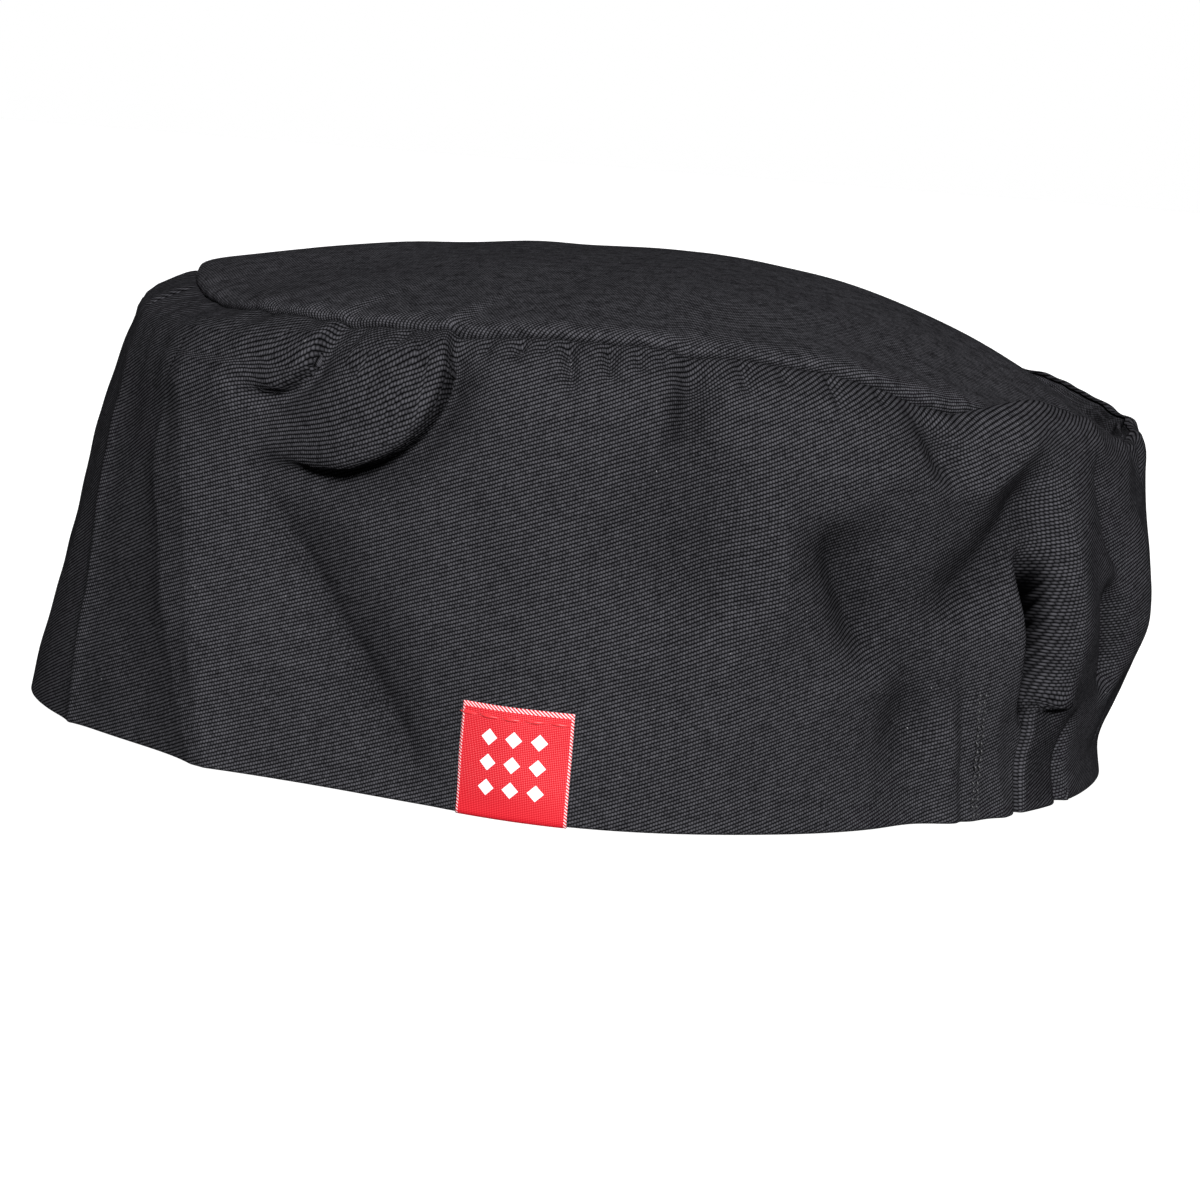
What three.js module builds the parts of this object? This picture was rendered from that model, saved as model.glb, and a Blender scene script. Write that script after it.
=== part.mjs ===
// Chef skull cap: a soft black twill cap with a gathered side band, a domed top panel,
// an elastic casing inside the back of the hem and a small folded label on the hem.
// Millimetres. +Z is up, the hem rests on z = 0, -X is the front, +X is the back, and
// -Y is the side that carries the label. The origin is under the middle of the outline.
import * as THREE from "three";

// Overall sizes
const LENGTH = 207; // front to back over the hem
const BREADTH = 174; // side to side over the hem
const FRONT_HEIGHT = 80.5; // hem to the top seam at the middle of the front
const CROWN_HEIGHT = 90.3; // hem plane to the highest point of the top panel
const CLOTH = 1.4; // two plies of twill
const GAP = 0.3; // clearance between pieces that are sewn together

// Top panel
const CROWN_CENTRE_X = 10; // highest point, behind the middle
const FRONT_FULLNESS = 2.2; // power of the crown's curve towards the front
const BACK_FULLNESS = 2.35; // and towards the back; 2 is a parabola, more is flatter on top
const SEAM_PULL_FADE = 9; // how soon the band's folds die out on the panel
const SEAM_ALLOWANCE = 7; // edge of the panel turned down inside the band
const ROLL_HEIGHT = 3.2; // the panel stands up this far in a roll beside the seam
const ROLL_REACH = 2.2; // how soon the roll turns over into the dome

// Elastic casing inside the back of the hem
const CASING_HEIGHT = 24;
const CASING_CLOTH = 1.6; // ribbed strip with the elastic in it
const CASING_FROM = 0.378; // turn of one end, and its mirror on the far side
const GATHER_DEPTH = 0.9; // gathers that the elastic draws up
const GATHER_COUNT = 9;

// Label folded round the hem
const LABEL_WIDTH = 19;
const LABEL_HEIGHT = 19; // outside, above the hem
const LABEL_RETURN = 7; // inside, above the hem
const LABEL_CLOTH = 0.6;
const LABEL_TURN = 0.226; // turn of its middle

// Grid
const COLUMN_COUNT = 104;
const ROW_COUNT = 13;
const DOME_REACHES = [0.97, 0.92, 0.8, 0.62, 0.38, 0.0]; // rings of the dome, 1 at its edge

// A turn goes from 0 at the front past 0.25 on the near side and 0.5 at the back to 1.
// A rise goes from 0 at the hem to 1 at the top seam.

// Profiles of the band, as shares of half the length and half the breadth
const PROFILE = [
  { rise: 0.0, front: 1.0, back: 0.945, side: 0.995 },
  { rise: 0.1, front: 0.986, back: 0.936, side: 0.998 },
  { rise: 0.22, front: 0.967, back: 0.958, side: 1.0 },
  { rise: 0.36, front: 0.943, back: 0.99, side: 0.995 },
  { rise: 0.55, front: 0.915, back: 1.0, side: 0.985 },
  { rise: 0.74, front: 0.88, back: 0.985, side: 0.965 },
  { rise: 0.88, front: 0.853, back: 0.972, side: 0.935 },
  { rise: 0.95, front: 0.825, back: 0.965, side: 0.9 },
  { rise: 1.0, front: 0.74, back: 0.95, side: 0.84 },
];

// How full the plan is against an ellipse, by the angle from the front in degrees:
// the front quarters are nearly straight, like a boat's bow
const PLAN = [
  { angle: 0, fullness: 1.0 },
  { angle: 12, fullness: 0.975 },
  { angle: 23, fullness: 0.937 },
  { angle: 39, fullness: 0.892 },
  { angle: 55, fullness: 0.898 },
  { angle: 75, fullness: 0.954 },
  { angle: 90, fullness: 1.0 },
  { angle: 114, fullness: 0.986 },
  { angle: 130, fullness: 0.96 },
  { angle: 151, fullness: 0.972 },
  { angle: 166, fullness: 0.985 },
  { angle: 180, fullness: 1.0 },
];

// Height of the top panel's edge as a share of the front height: the cap is lower at the
// back, and there the gathered band puffs up over the panel's edge by the puff
const SEAM = [
  { angle: 0, height: 1.0, puff: 0 },
  { angle: 25, height: 0.965, puff: 0 },
  { angle: 45, height: 0.965, puff: 0 },
  { angle: 65, height: 0.97, puff: 0 },
  { angle: 90, height: 0.985, puff: 0 },
  { angle: 110, height: 0.965, puff: 0 },
  { angle: 125, height: 0.92, puff: 0 },
  { angle: 134, height: 0.88, puff: 0 },
  { angle: 147, height: 0.819, puff: 0.088 },
  { angle: 154, height: 0.79, puff: 0.08 },
  { angle: 167, height: 0.755, puff: 0.042 },
  { angle: 180, height: 0.71, puff: 0.11 },
  { angle: 193, height: 0.675, puff: 0.178 },
  { angle: 213, height: 0.705, puff: 0.202 },
  { angle: 230, height: 0.83, puff: 0.12 },
  { angle: 255, height: 0.95, puff: 0 },
  { angle: 285, height: 0.975, puff: 0 },
  { angle: 320, height: 0.97, puff: 0 },
  { angle: 360, height: 1.0, puff: 0 },
];

// Folds. Each runs along a bowed path [turn, rise] from start to end. The cloth on the
// left of the path stands out by left.lift, that on the right by right.lift, each over
// its reach, and they change over within edge. Lengths are shares of the front height.
// A power of 1 gives a crisp crease and 2 a round one; open ends do not fade out.
const FOLDS = [
  { name: "front crease", start: [0.049, 0.87], bow: [0.051, 0.6], end: [0.059, 0.0], edge: 0.01,
    left: { lift: 0.018, reach: 0.04 }, right: { lift: 0.018, reach: 0.04 }, power: 1.0, open: "end" },
  { name: "front quarter ridge", start: [0.096, 0.82], bow: [0.088, 0.5], end: [0.121, 0.0], edge: 0.02,
    left: { lift: 0.056, reach: 0.34 }, right: { lift: 0.056, reach: 0.18 }, power: 1.0, open: "both" },
  { name: "front shoulder edge", start: [0.094, 0.82], bow: [0.112, 0.828], end: [0.136, 0.84], edge: 0.02,
    left: { lift: 0.036, reach: 0.1 }, right: { lift: 0.036, reach: 0.13 }, power: 1.0, open: "none" },
  { name: "small front tuck", start: [0.124, 0.842], bow: [0.154, 0.845], end: [0.149, 1.0], edge: 0.012,
    left: { lift: 0.034, reach: 0.08 }, right: { lift: -0.05, reach: 0.05 }, power: 2.0, open: "end" },
  { name: "great tuck", start: [0.127, 0.69], bow: [0.202, 0.69], end: [0.19, 1.0], edge: 0.015,
    left: { lift: 0.054, reach: 0.17 }, right: { lift: -0.07, reach: 0.08 }, power: 2.0, open: "end" },
  { name: "long valley", start: [0.112, 0.8], bow: [0.16, 0.4], end: [0.216, -0.15], edge: 0.02,
    left: { lift: -0.052, reach: 0.17 }, right: { lift: -0.052, reach: 0.24 }, power: 1.1, open: "none" },
  { name: "small pleat", start: [0.272, 1.0], bow: [0.272, 0.93], end: [0.268, 0.74], edge: 0.02,
    left: { lift: -0.06, reach: 0.05 }, right: { lift: -0.06, reach: 0.04 }, power: 2.0, open: "start" },
  { name: "middle hollow", start: [0.28, 0.88], bow: [0.274, 0.64], end: [0.282, 0.34], edge: 0.03,
    left: { lift: -0.05, reach: 0.09 }, right: { lift: -0.05, reach: 0.2 }, power: 1.7, open: "none" },
  { name: "middle ridge", start: [0.297, 0.88], bow: [0.3, 0.62], end: [0.299, 0.32], edge: 0.02,
    left: { lift: 0.046, reach: 0.07 }, right: { lift: 0.046, reach: 0.1 }, power: 1.4, open: "none" },
  { name: "hem facing line", start: [0.21, 0.262], bow: [0.25, 0.272], end: [0.3, 0.27], edge: 0.02,
    left: { lift: -0.006, reach: 0.03 }, right: { lift: -0.006, reach: 0.03 }, power: 1.0, open: "none" },
  { name: "back bulge crest", start: [0.3, 0.725], bow: [0.332, 0.85], end: [0.366, 0.78], edge: 0.02,
    left: { lift: 0.034, reach: 0.16 }, right: { lift: 0.034, reach: 0.12 }, power: 1.3, open: "none" },
  { name: "back bulge pocket", start: [0.312, 0.71], bow: [0.323, 0.56], end: [0.337, 0.33], edge: 0.02,
    left: { lift: -0.082, reach: 0.12 }, right: { lift: -0.082, reach: 0.065 }, power: 1.6, open: "none" },
  { name: "slanting valley", start: [0.397, 0.91], bow: [0.39, 0.66], end: [0.335, 0.42], edge: 0.02,
    left: { lift: -0.074, reach: 0.09 }, right: { lift: -0.074, reach: 0.085 }, power: 1.6, open: "none" },
  { name: "ridge up to the puff", start: [0.36, 0.775], bow: [0.374, 0.85], end: [0.398, 0.94], edge: 0.02,
    left: { lift: 0.04, reach: 0.06 }, right: { lift: 0.04, reach: 0.05 }, power: 1.3, open: "none" },
  { name: "dent under the seam", start: [0.35, 1.0], bow: [0.35, 0.93], end: [0.361, 0.81], edge: 0.02,
    left: { lift: -0.062, reach: 0.05 }, right: { lift: -0.062, reach: 0.06 }, power: 2.0, open: "start" },
  { name: "back quarter ridge", start: [0.391, 0.95], bow: [0.405, 0.62], end: [0.411, 0.15], edge: 0.02,
    left: { lift: 0.056, reach: 0.11 }, right: { lift: 0.056, reach: 0.045 }, power: 1.7, open: "none" },
  { name: "deep slit", start: [0.39, 0.69], bow: [0.395, 0.43], end: [0.402, 0.19], edge: 0.01,
    left: { lift: -0.08, reach: 0.026 }, right: { lift: -0.11, reach: 0.026 }, power: 2.0, open: "none" },
  { name: "back hollow", start: [0.43, 0.62], bow: [0.441, 0.44], end: [0.452, 0.28], edge: 0.02,
    left: { lift: -0.084, reach: 0.05 }, right: { lift: -0.084, reach: 0.06 }, power: 2.0, open: "none" },
  { name: "back crease", start: [0.423, 0.93], bow: [0.42, 0.8], end: [0.446, 0.58], edge: 0.01,
    left: { lift: -0.034, reach: 0.06 }, right: { lift: -0.034, reach: 0.03 }, power: 1.2, open: "none" },
  { name: "back ridge", start: [0.452, 0.9], bow: [0.462, 0.6], end: [0.464, 0.3], edge: 0.02,
    left: { lift: 0.022, reach: 0.06 }, right: { lift: 0.022, reach: 0.07 }, power: 1.6, open: "none" },
  { name: "lower back hollow", start: [0.345, 0.38], bow: [0.35, 0.22], end: [0.358, 0.02], edge: 0.02,
    left: { lift: -0.022, reach: 0.09 }, right: { lift: -0.022, reach: 0.1 }, power: 2.0, open: "end" },
  { name: "lower back ridge", start: [0.361, 0.32], bow: [0.369, 0.17], end: [0.373, 0.0], edge: 0.02,
    left: { lift: 0.02, reach: 0.06 }, right: { lift: 0.02, reach: 0.07 }, power: 1.6, open: "end" },
  { name: "corner notch", start: [0.476, 1.0], bow: [0.478, 0.95], end: [0.47, 0.86], edge: 0.02,
    left: { lift: -0.034, reach: 0.04 }, right: { lift: -0.034, reach: 0.05 }, power: 2.0, open: "start" },
  { name: "back top crease", start: [0.49, 0.9], bow: [0.515, 0.86], end: [0.55, 0.92], edge: 0.02,
    left: { lift: -0.02, reach: 0.06 }, right: { lift: -0.02, reach: 0.07 }, power: 2.0, open: "none" },
  { name: "back middle hollow", start: [0.49, 0.72], bow: [0.51, 0.5], end: [0.49, 0.2], edge: 0.02,
    left: { lift: -0.026, reach: 0.1 }, right: { lift: -0.026, reach: 0.1 }, power: 2.0, open: "none" },
  { name: "far back ridge", start: [0.585, 0.92], bow: [0.562, 0.7], end: [0.585, 0.3], edge: 0.02,
    left: { lift: 0.034, reach: 0.1 }, right: { lift: 0.034, reach: 0.09 }, power: 1.5, open: "none" },
  { name: "far slit", start: [0.612, 0.62], bow: [0.612, 0.35], end: [0.604, 0.0], edge: 0.02,
    left: { lift: -0.06, reach: 0.035 }, right: { lift: -0.06, reach: 0.035 }, power: 2.0, open: "end" },
  { name: "far slanting tuck", start: [0.615, 0.94], bow: [0.64, 0.66], end: [0.69, 0.4], edge: 0.03,
    left: { lift: 0.03, reach: 0.14 }, right: { lift: -0.036, reach: 0.1 }, power: 2.0, open: "none" },
  { name: "far pleat", start: [0.735, 1.0], bow: [0.733, 0.88], end: [0.73, 0.74], edge: 0.02,
    left: { lift: -0.03, reach: 0.04 }, right: { lift: -0.03, reach: 0.04 }, power: 2.0, open: "start" },
  { name: "far great tuck", start: [0.805, 1.0], bow: [0.8, 0.7], end: [0.865, 0.64], edge: 0.02,
    left: { lift: 0.042, reach: 0.16 }, right: { lift: -0.036, reach: 0.13 }, power: 2.0, open: "start" },
  { name: "far long valley", start: [0.862, 0.64], bow: [0.835, 0.38], end: [0.79, 0.04], edge: 0.02,
    left: { lift: -0.036, reach: 0.15 }, right: { lift: -0.036, reach: 0.15 }, power: 1.2, open: "start" },
  { name: "far quarter ridge", start: [0.906, 0.83], bow: [0.912, 0.48], end: [0.885, 0.0], edge: 0.02,
    left: { lift: 0.04, reach: 0.15 }, right: { lift: 0.04, reach: 0.24 }, power: 1.0, open: "both" },
];

const HALF_LENGTH = LENGTH / 2;
const HALF_BREADTH = BREADTH / 2;
const FULL_CIRCLE = 360;
const PATH_STEPS = 20;
const FADE_SHARE = 0.35; // a fold's end fades out over this share of its path
const SEAM_HOLD = 0.8; // the seam takes this share of the folds' lift away
const SEAM_HOLD_REACH = 0.09; // the share of the height over which it does

// A smooth curve through the rows of a table: cubic pieces whose slopes are the
// weighted mean of the slopes on both sides.
function curveThrough(rows, key, value, closed = false) {
  const xs = rows.map((row) => row[key]);
  const ys = rows.map((row) => row[value]);
  const last = xs.length - 1;
  const steps = xs.slice(1).map((x, i) => x - xs[i]);
  const slopes = steps.map((step, i) => (ys[i + 1] - ys[i]) / step);
  const tangents = xs.map((x, i) => {
    if (i > 0 && i < last) {
      return (slopes[i - 1] * steps[i] + slopes[i] * steps[i - 1]) / (steps[i - 1] + steps[i]);
    }
    if (closed) {
      return (slopes[last - 1] * steps[0] + slopes[0] * steps[last - 1]) / (steps[0] + steps[last - 1]);
    }
    return i === 0 ? slopes[0] : slopes[last - 1];
  });
  return (x) => {
    let i = 0;
    while (i < last - 1 && x >= xs[i + 1]) i += 1;
    const u = (x - xs[i]) / steps[i];
    const v = 1 - u;
    return (1 + 2 * u) * v * v * ys[i] + u * v * v * steps[i] * tangents[i]
      + u * u * (3 - 2 * u) * ys[i + 1] - u * u * v * steps[i] * tangents[i + 1];
  };
}

function mirrored(rows) {
  const back = rows.slice(0, -1).reverse();
  return rows.concat(back.map((row) => ({ ...row, angle: FULL_CIRCLE - row.angle })));
}

const frontShare = curveThrough(PROFILE, "rise", "front");
const backShare = curveThrough(PROFILE, "rise", "back");
const sideShare = curveThrough(PROFILE, "rise", "side");
const planFullness = curveThrough(mirrored(PLAN), "angle", "fullness", true);
const seamShare = curveThrough(SEAM, "angle", "height", true);
const puffShare = curveThrough(SEAM, "angle", "puff", true);

function smooth(x) {
  const u = Math.min(Math.max(x, 0), 1);
  return u * u * (3 - 2 * u);
}

// Distance from the middle line to the band, an ellipse of the profile's lengths times
// the plan's fullness, which gives way to the plain ellipse towards the top.
function planRadius(angle, rise) {
  const c = Math.cos(THREE.MathUtils.degToRad(angle));
  const s = Math.sin(THREE.MathUtils.degToRad(angle));
  const along = (c > 0 ? frontShare(rise) : backShare(rise)) * HALF_LENGTH;
  const across = sideShare(rise) * HALF_BREADTH;
  const ellipse = 1 / Math.hypot(c / along, s / across);
  return ellipse * (1 + (planFullness(angle) - 1) * (1 - rise * rise));
}

// Angles at equal steps of length round the band, so that a turn is a share of the girth
const GIRTH_RISE = 0.3;
const ANGLE_STEP = 0.5;
const ringAngles = [];
const ringLengths = [];
for (let angle = 0; angle <= FULL_CIRCLE; angle += ANGLE_STEP) {
  const radius = planRadius(angle, GIRTH_RISE);
  const before = ringAngles.length - 1;
  let length = 0;
  if (before >= 0) {
    const radiusBefore = planRadius(angle - ANGLE_STEP, GIRTH_RISE);
    const swing = THREE.MathUtils.degToRad(ANGLE_STEP);
    const chord = Math.hypot(radius * Math.sin(swing), radius * Math.cos(swing) - radiusBefore);
    length = ringLengths[before] + chord;
  }
  ringAngles.push(angle);
  ringLengths.push(length);
}
const GIRTH = ringLengths[ringLengths.length - 1];

function angleOf(turn) {
  const length = (turn - Math.floor(turn)) * GIRTH;
  let i = 1;
  while (i < ringLengths.length - 1 && ringLengths[i] < length) i += 1;
  const share = (length - ringLengths[i - 1]) / (ringLengths[i] - ringLengths[i - 1]);
  return ringAngles[i - 1] + share * ANGLE_STEP;
}

function puffHeight(turn) {
  return puffShare(angleOf(turn)) * FRONT_HEIGHT;
}

function seamHeight(turn) {
  return seamShare(angleOf(turn)) * FRONT_HEIGHT + puffHeight(turn);
}

function plainBand(turn, rise) {
  const angle = angleOf(turn);
  const radius = planRadius(angle, rise);
  const radians = THREE.MathUtils.degToRad(angle);
  const height = seamHeight(turn) * rise;
  return new THREE.Vector3(-radius * Math.cos(radians), -radius * Math.sin(radians), height);
}

// The direction in which folds stand out: the plain band's normal, level at the hem
function outward(turn, rise) {
  const step = 0.002;
  const low = Math.max(rise - step, 0);
  const high = Math.min(rise + step, 1);
  const around = plainBand(turn + step, rise).sub(plainBand(turn - step, rise));
  const up = plainBand(turn, high).sub(plainBand(turn, low));
  const normal = around.cross(up).normalize();
  normal.z *= rise;
  return normal;
}

// A fold's path as points in shares of the front height, unrolled round the band
function foldPath(fold) {
  const [from, through, to] = [fold.start, fold.bow, fold.end];
  const points = [];
  for (let i = 0; i <= PATH_STEPS; i += 1) {
    const u = i / PATH_STEPS;
    const mix = (k) => (1 - u) * (1 - u) * from[k] + 2 * u * (1 - u) * through[k] + u * u * to[k];
    points.push([mix(0) * (GIRTH / FRONT_HEIGHT), mix(1)]);
  }
  return points;
}

const foldPaths = FOLDS.map((fold) => foldPath(fold));

// Signed distance from a path, positive on its left, and how far along the path it is
function nearestOnPath(path, x, y) {
  let best = { distance: Infinity, along: 0 };
  for (let i = 0; i < path.length - 1; i += 1) {
    const dx = path[i + 1][0] - path[i][0];
    const dy = path[i + 1][1] - path[i][1];
    const px = x - path[i][0];
    const py = y - path[i][1];
    const u = Math.min(Math.max((px * dx + py * dy) / (dx * dx + dy * dy), 0), 1);
    const distance = Math.hypot(px - u * dx, py - u * dy);
    if (distance < Math.abs(best.distance)) {
      const side = dx * py - dy * px >= 0 ? 1 : -1;
      best = { distance: side * distance, along: (i + u) / (path.length - 1) };
    }
  }
  return best;
}

// A fold's lift at a point: the left and right lifts blended across the path, falling
// off with the distance, and fading out at the ends that are not open.
function foldLift(fold, path, turn, rise) {
  const { distance, along } = nearestOnPath(path, turn * (GIRTH / FRONT_HEIGHT), rise);
  const leftness = 0.5 + 0.5 * Math.tanh(distance / fold.edge);
  const side = distance > 0 ? fold.left : fold.right;
  const fall = Math.exp(-((Math.abs(distance) / side.reach) ** fold.power));
  const lift = leftness * fold.left.lift + (1 - leftness) * fold.right.lift;
  const startFade = fold.open === "start" || fold.open === "both" ? 1 : smooth(along / FADE_SHARE);
  const endFade = fold.open === "end" || fold.open === "both" ? 1 : smooth((1 - along) / FADE_SHARE);
  return lift * fall * startFade * endFade;
}

// Upright gathers that the elastic draws up at the back, dying out above the casing
function gatherLift(turn, rise) {
  const casingSpan = 1 - 2 * CASING_FROM;
  const place = (turn - CASING_FROM) / casingSpan;
  if (place < 0 || place > 1) return 0;
  const edgeFade = smooth(place * GATHER_COUNT) * smooth((1 - place) * GATHER_COUNT);
  const casingRise = CASING_HEIGHT / seamHeight(turn);
  const heightFade = 1 - smooth((rise - casingRise) / (1 - casingRise));
  return GATHER_DEPTH * edgeFade * heightFade * Math.cos(2 * Math.PI * GATHER_COUNT * place);
}

function lift(turn, rise) {
  const folds = FOLDS.reduce((sum, fold, i) => sum + foldLift(fold, foldPaths[i], turn, rise), 0);
  const held = 1 - SEAM_HOLD * smooth((rise - 1 + SEAM_HOLD_REACH) / SEAM_HOLD_REACH);
  return folds * held * FRONT_HEIGHT + gatherLift(turn, rise);
}

// A point of the folded band, set in by inset from its outer face
function bandPoint(turn, rise, inset = 0) {
  const direction = outward(turn, rise);
  return plainBand(turn, rise).addScaledVector(direction, lift(turn, rise) - inset);
}

// Evenly spaced values together with exact ones, dropping even ones that lie too close
function spacedWith(count, exact) {
  const spacing = 1 / count;
  const tooClose = 0.4 * spacing;
  const values = [...exact];
  for (let i = 0; i <= count; i += 1) {
    const value = i * spacing;
    const isEnd = i === 0 || i === count;
    if (isEnd || exact.every((other) => Math.abs(other - value) > tooClose)) values.push(value);
  }
  return values.sort((a, b) => a - b);
}

const labelHalf = (LABEL_WIDTH / 2) / GIRTH;
const notchHalf = (LABEL_WIDTH / 2 + GAP) / GIRTH;
const notchFlank = (LABEL_WIDTH / 2 + 3 * GAP) / GIRTH;
const labelTopRise = LABEL_HEIGHT / seamHeight(LABEL_TURN);
const labelReturnRise = LABEL_RETURN / seamHeight(LABEL_TURN);
const casingTopRise = CASING_HEIGHT / seamHeight(CASING_FROM);
const allowanceRise = 1 - SEAM_ALLOWANCE / FRONT_HEIGHT;

const columnTurns = spacedWith(COLUMN_COUNT, [
  LABEL_TURN - notchFlank, LABEL_TURN - notchHalf, LABEL_TURN - labelHalf,
  LABEL_TURN + labelHalf, LABEL_TURN + notchHalf, LABEL_TURN + notchFlank,
  CASING_FROM, 1 - CASING_FROM,
]).slice(0, -1);
const rowRises = spacedWith(ROW_COUNT, [labelReturnRise, labelTopRise, casingTopRise, allowanceRise]);

function columnsBetween(low, high) {
  const slack = 1e-9;
  return columnTurns.filter((turn) => turn > low - slack && turn < high + slack);
}

function rowsBetween(low, high) {
  const slack = 1e-9;
  return rowRises.filter((rise) => rise > low - slack && rise < high + slack);
}

// One closed shell between two sheets of points. Both have the same rows and columns.
// Around joins the last column to the first, and pole gathers the last row to a point.
function closedShell(outer, inner, { around = false, pole = false } = {}) {
  const rows = outer.length;
  const columns = outer[0].length;
  const positions = [...outer.flat(), ...inner.flat()].flatMap((point) => point.toArray());
  const faces = [];
  const index = (sheet, row, column) => {
    const foldedColumn = pole && row === rows - 1 ? 0 : column % columns;
    return sheet * rows * columns + row * columns + foldedColumn;
  };
  const quad = (a, b, c, d) => {
    if (a !== b && b !== c) faces.push(a, b, c);
    if (a !== c && c !== d) faces.push(a, c, d);
  };
  const lastColumn = around ? columns : columns - 1;
  for (let row = 0; row < rows - 1; row += 1) {
    for (let column = 0; column < lastColumn; column += 1) {
      quad(index(0, row, column), index(0, row, column + 1),
        index(0, row + 1, column + 1), index(0, row + 1, column));
      quad(index(1, row, column), index(1, row + 1, column),
        index(1, row + 1, column + 1), index(1, row, column + 1));
    }
  }
  for (let column = 0; column < lastColumn; column += 1) {
    quad(index(0, 0, column + 1), index(0, 0, column), index(1, 0, column), index(1, 0, column + 1));
    if (!pole) {
      quad(index(0, rows - 1, column), index(0, rows - 1, column + 1),
        index(1, rows - 1, column + 1), index(1, rows - 1, column));
    }
  }
  if (!around) {
    for (let row = 0; row < rows - 1; row += 1) {
      quad(index(0, row, 0), index(0, row + 1, 0), index(1, row + 1, 0), index(1, row, 0));
      quad(index(0, row + 1, columns - 1), index(0, row, columns - 1),
        index(1, row, columns - 1), index(1, row + 1, columns - 1));
    }
  }
  return shellGeometry(positions, faces);
}

// The geometry of the vertices that the faces use
function shellGeometry(positions, faces) {
  const used = [...new Set(faces)].sort((a, b) => a - b);
  const renumbered = new Map(used.map((old, i) => [old, i]));
  const kept = used.flatMap((old) => positions.slice(3 * old, 3 * old + 3));
  const geometry = new THREE.BufferGeometry();
  geometry.setAttribute("position", new THREE.Float32BufferAttribute(kept, 3));
  geometry.setIndex(faces.map((old) => renumbered.get(old)));
  geometry.computeVertexNormals();
  return geometry;
}

function sheet(rises, turns, pointAt) {
  return rises.map((rise) => turns.map((turn) => pointAt(turn, rise)));
}

// The hem is notched where the label passes under it, and lifts a little at the slits
// where it is gathered over the elastic.
const LABEL_NOTCH = LABEL_CLOTH + GAP;
const SLIT_LIFT = 2.2;
const SLIT_TURNS = [0.4, 0.605];
const SLIT_REACH = 0.012; // a share of the girth
const SLIT_FADE = 8; // how soon the lift dies out above the hem

function hemLift(turn, rise) {
  const firstRow = rowRises[1];
  const inNotch = Math.abs(turn - LABEL_TURN) < (notchHalf + notchFlank) / 2;
  const notch = inNotch ? LABEL_NOTCH * Math.max(0, 1 - rise / firstRow) : 0;
  const slits = SLIT_TURNS.map((at) => SLIT_LIFT * Math.exp(-(((turn - at) / SLIT_REACH) ** 2)));
  return notch + slits.reduce((a, b) => a + b) * (1 - rise) ** SLIT_FADE;
}

function bandFace(turn, rise, inset) {
  const point = bandPoint(turn, rise, inset);
  point.z += hemLift(turn, rise);
  return point;
}

function sideBand() {
  const outer = sheet(rowRises, columnTurns, (turn, rise) => bandFace(turn, rise, 0));
  const inner = sheet(rowRises, columnTurns, (turn, rise) => bandFace(turn, rise, CLOTH));
  return closedShell(outer, inner, { around: true });
}

// The dome goes from the turned-down edge, over a steep little roll, to the crown's top.
// Where the band puffs up over the panel, the roll is a little trough instead.
// Reach is 1 at the edge and 0 at the top. The band's folds pull on the panel's edge and
// fade out towards the middle.
function domePoint(turn, reach, inset) {
  const plain = plainBand(turn, 1).addScaledVector(outward(turn, 1), -inset);
  const pull = bandPoint(turn, 1, inset).sub(plain).multiplyScalar(reach ** SEAM_PULL_FADE);
  const fromEdge = (1 - reach) * Math.hypot(plain.x - CROWN_CENTRE_X, plain.y);
  const rollHeight = ROLL_HEIGHT - puffHeight(turn);
  const roll = rollHeight * (1 - Math.exp(-fromEdge / ROLL_REACH));
  const frontness = 0.5 + 0.5 * Math.cos(THREE.MathUtils.degToRad(angleOf(turn)));
  const fullness = BACK_FULLNESS + (FRONT_FULLNESS - BACK_FULLNESS) * frontness;
  const rest = (CROWN_HEIGHT - rollHeight - plain.z) * (1 - reach ** fullness);
  const x = CROWN_CENTRE_X + (plain.x - CROWN_CENTRE_X) * reach;
  return new THREE.Vector3(x, plain.y * reach, plain.z + roll + rest).add(pull);
}

// The panel's wall goes over from upright to lying within this share of the reach
const TURN_OVER = 0.08;

function topPanel() {
  const turned = rowsBetween(allowanceRise, 1);
  const panelSheet = (inset, drop) => {
    const down = sheet(turned, columnTurns, (turn, rise) => bandPoint(turn, rise, inset));
    const dome = DOME_REACHES.map((reach) => columnTurns.map((turn) => {
      const point = domePoint(turn, reach, inset);
      point.z -= drop * smooth((1 - reach) / TURN_OVER);
      return point;
    }));
    return down.concat(dome);
  };
  const outer = panelSheet(CLOTH + GAP, 0);
  const inner = panelSheet(2 * CLOTH + GAP, CLOTH);
  return closedShell(outer, inner, { around: true, pole: true });
}

function elasticCasing() {
  const turns = columnsBetween(CASING_FROM, 1 - CASING_FROM);
  const rises = rowsBetween(0, casingTopRise);
  const clear = CLOTH + 2 * GAP;
  const outer = sheet(rises, turns, (turn, rise) => bandPoint(turn, rise, clear));
  const inner = sheet(rises, turns, (turn, rise) => bandPoint(turn, rise, clear + CASING_CLOTH));
  return closedShell(outer, inner);
}

// The label goes up outside the band and comes back up inside it, in one strip
function label() {
  const turns = columnsBetween(LABEL_TURN - labelHalf, LABEL_TURN + labelHalf);
  const outside = rowsBetween(0, labelTopRise).reverse();
  const inside = rowsBetween(0, labelReturnRise);
  const strip = (outInset, bottom, inInset) => [
    ...outside.map((rise) => turns.map((turn) => {
      const point = bandPoint(turn, rise, outInset);
      if (rise === 0) point.z = bottom;
      return point;
    })),
    ...inside.map((rise) => turns.map((turn) => {
      const point = bandPoint(turn, rise, inInset);
      if (rise === 0) point.z = bottom;
      return point;
    })),
  ];
  const near = strip(-GAP, LABEL_CLOTH, CLOTH + GAP);
  const away = strip(-GAP - LABEL_CLOTH, 0, CLOTH + GAP + LABEL_CLOTH);
  return closedShell(near, away);
}

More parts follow.
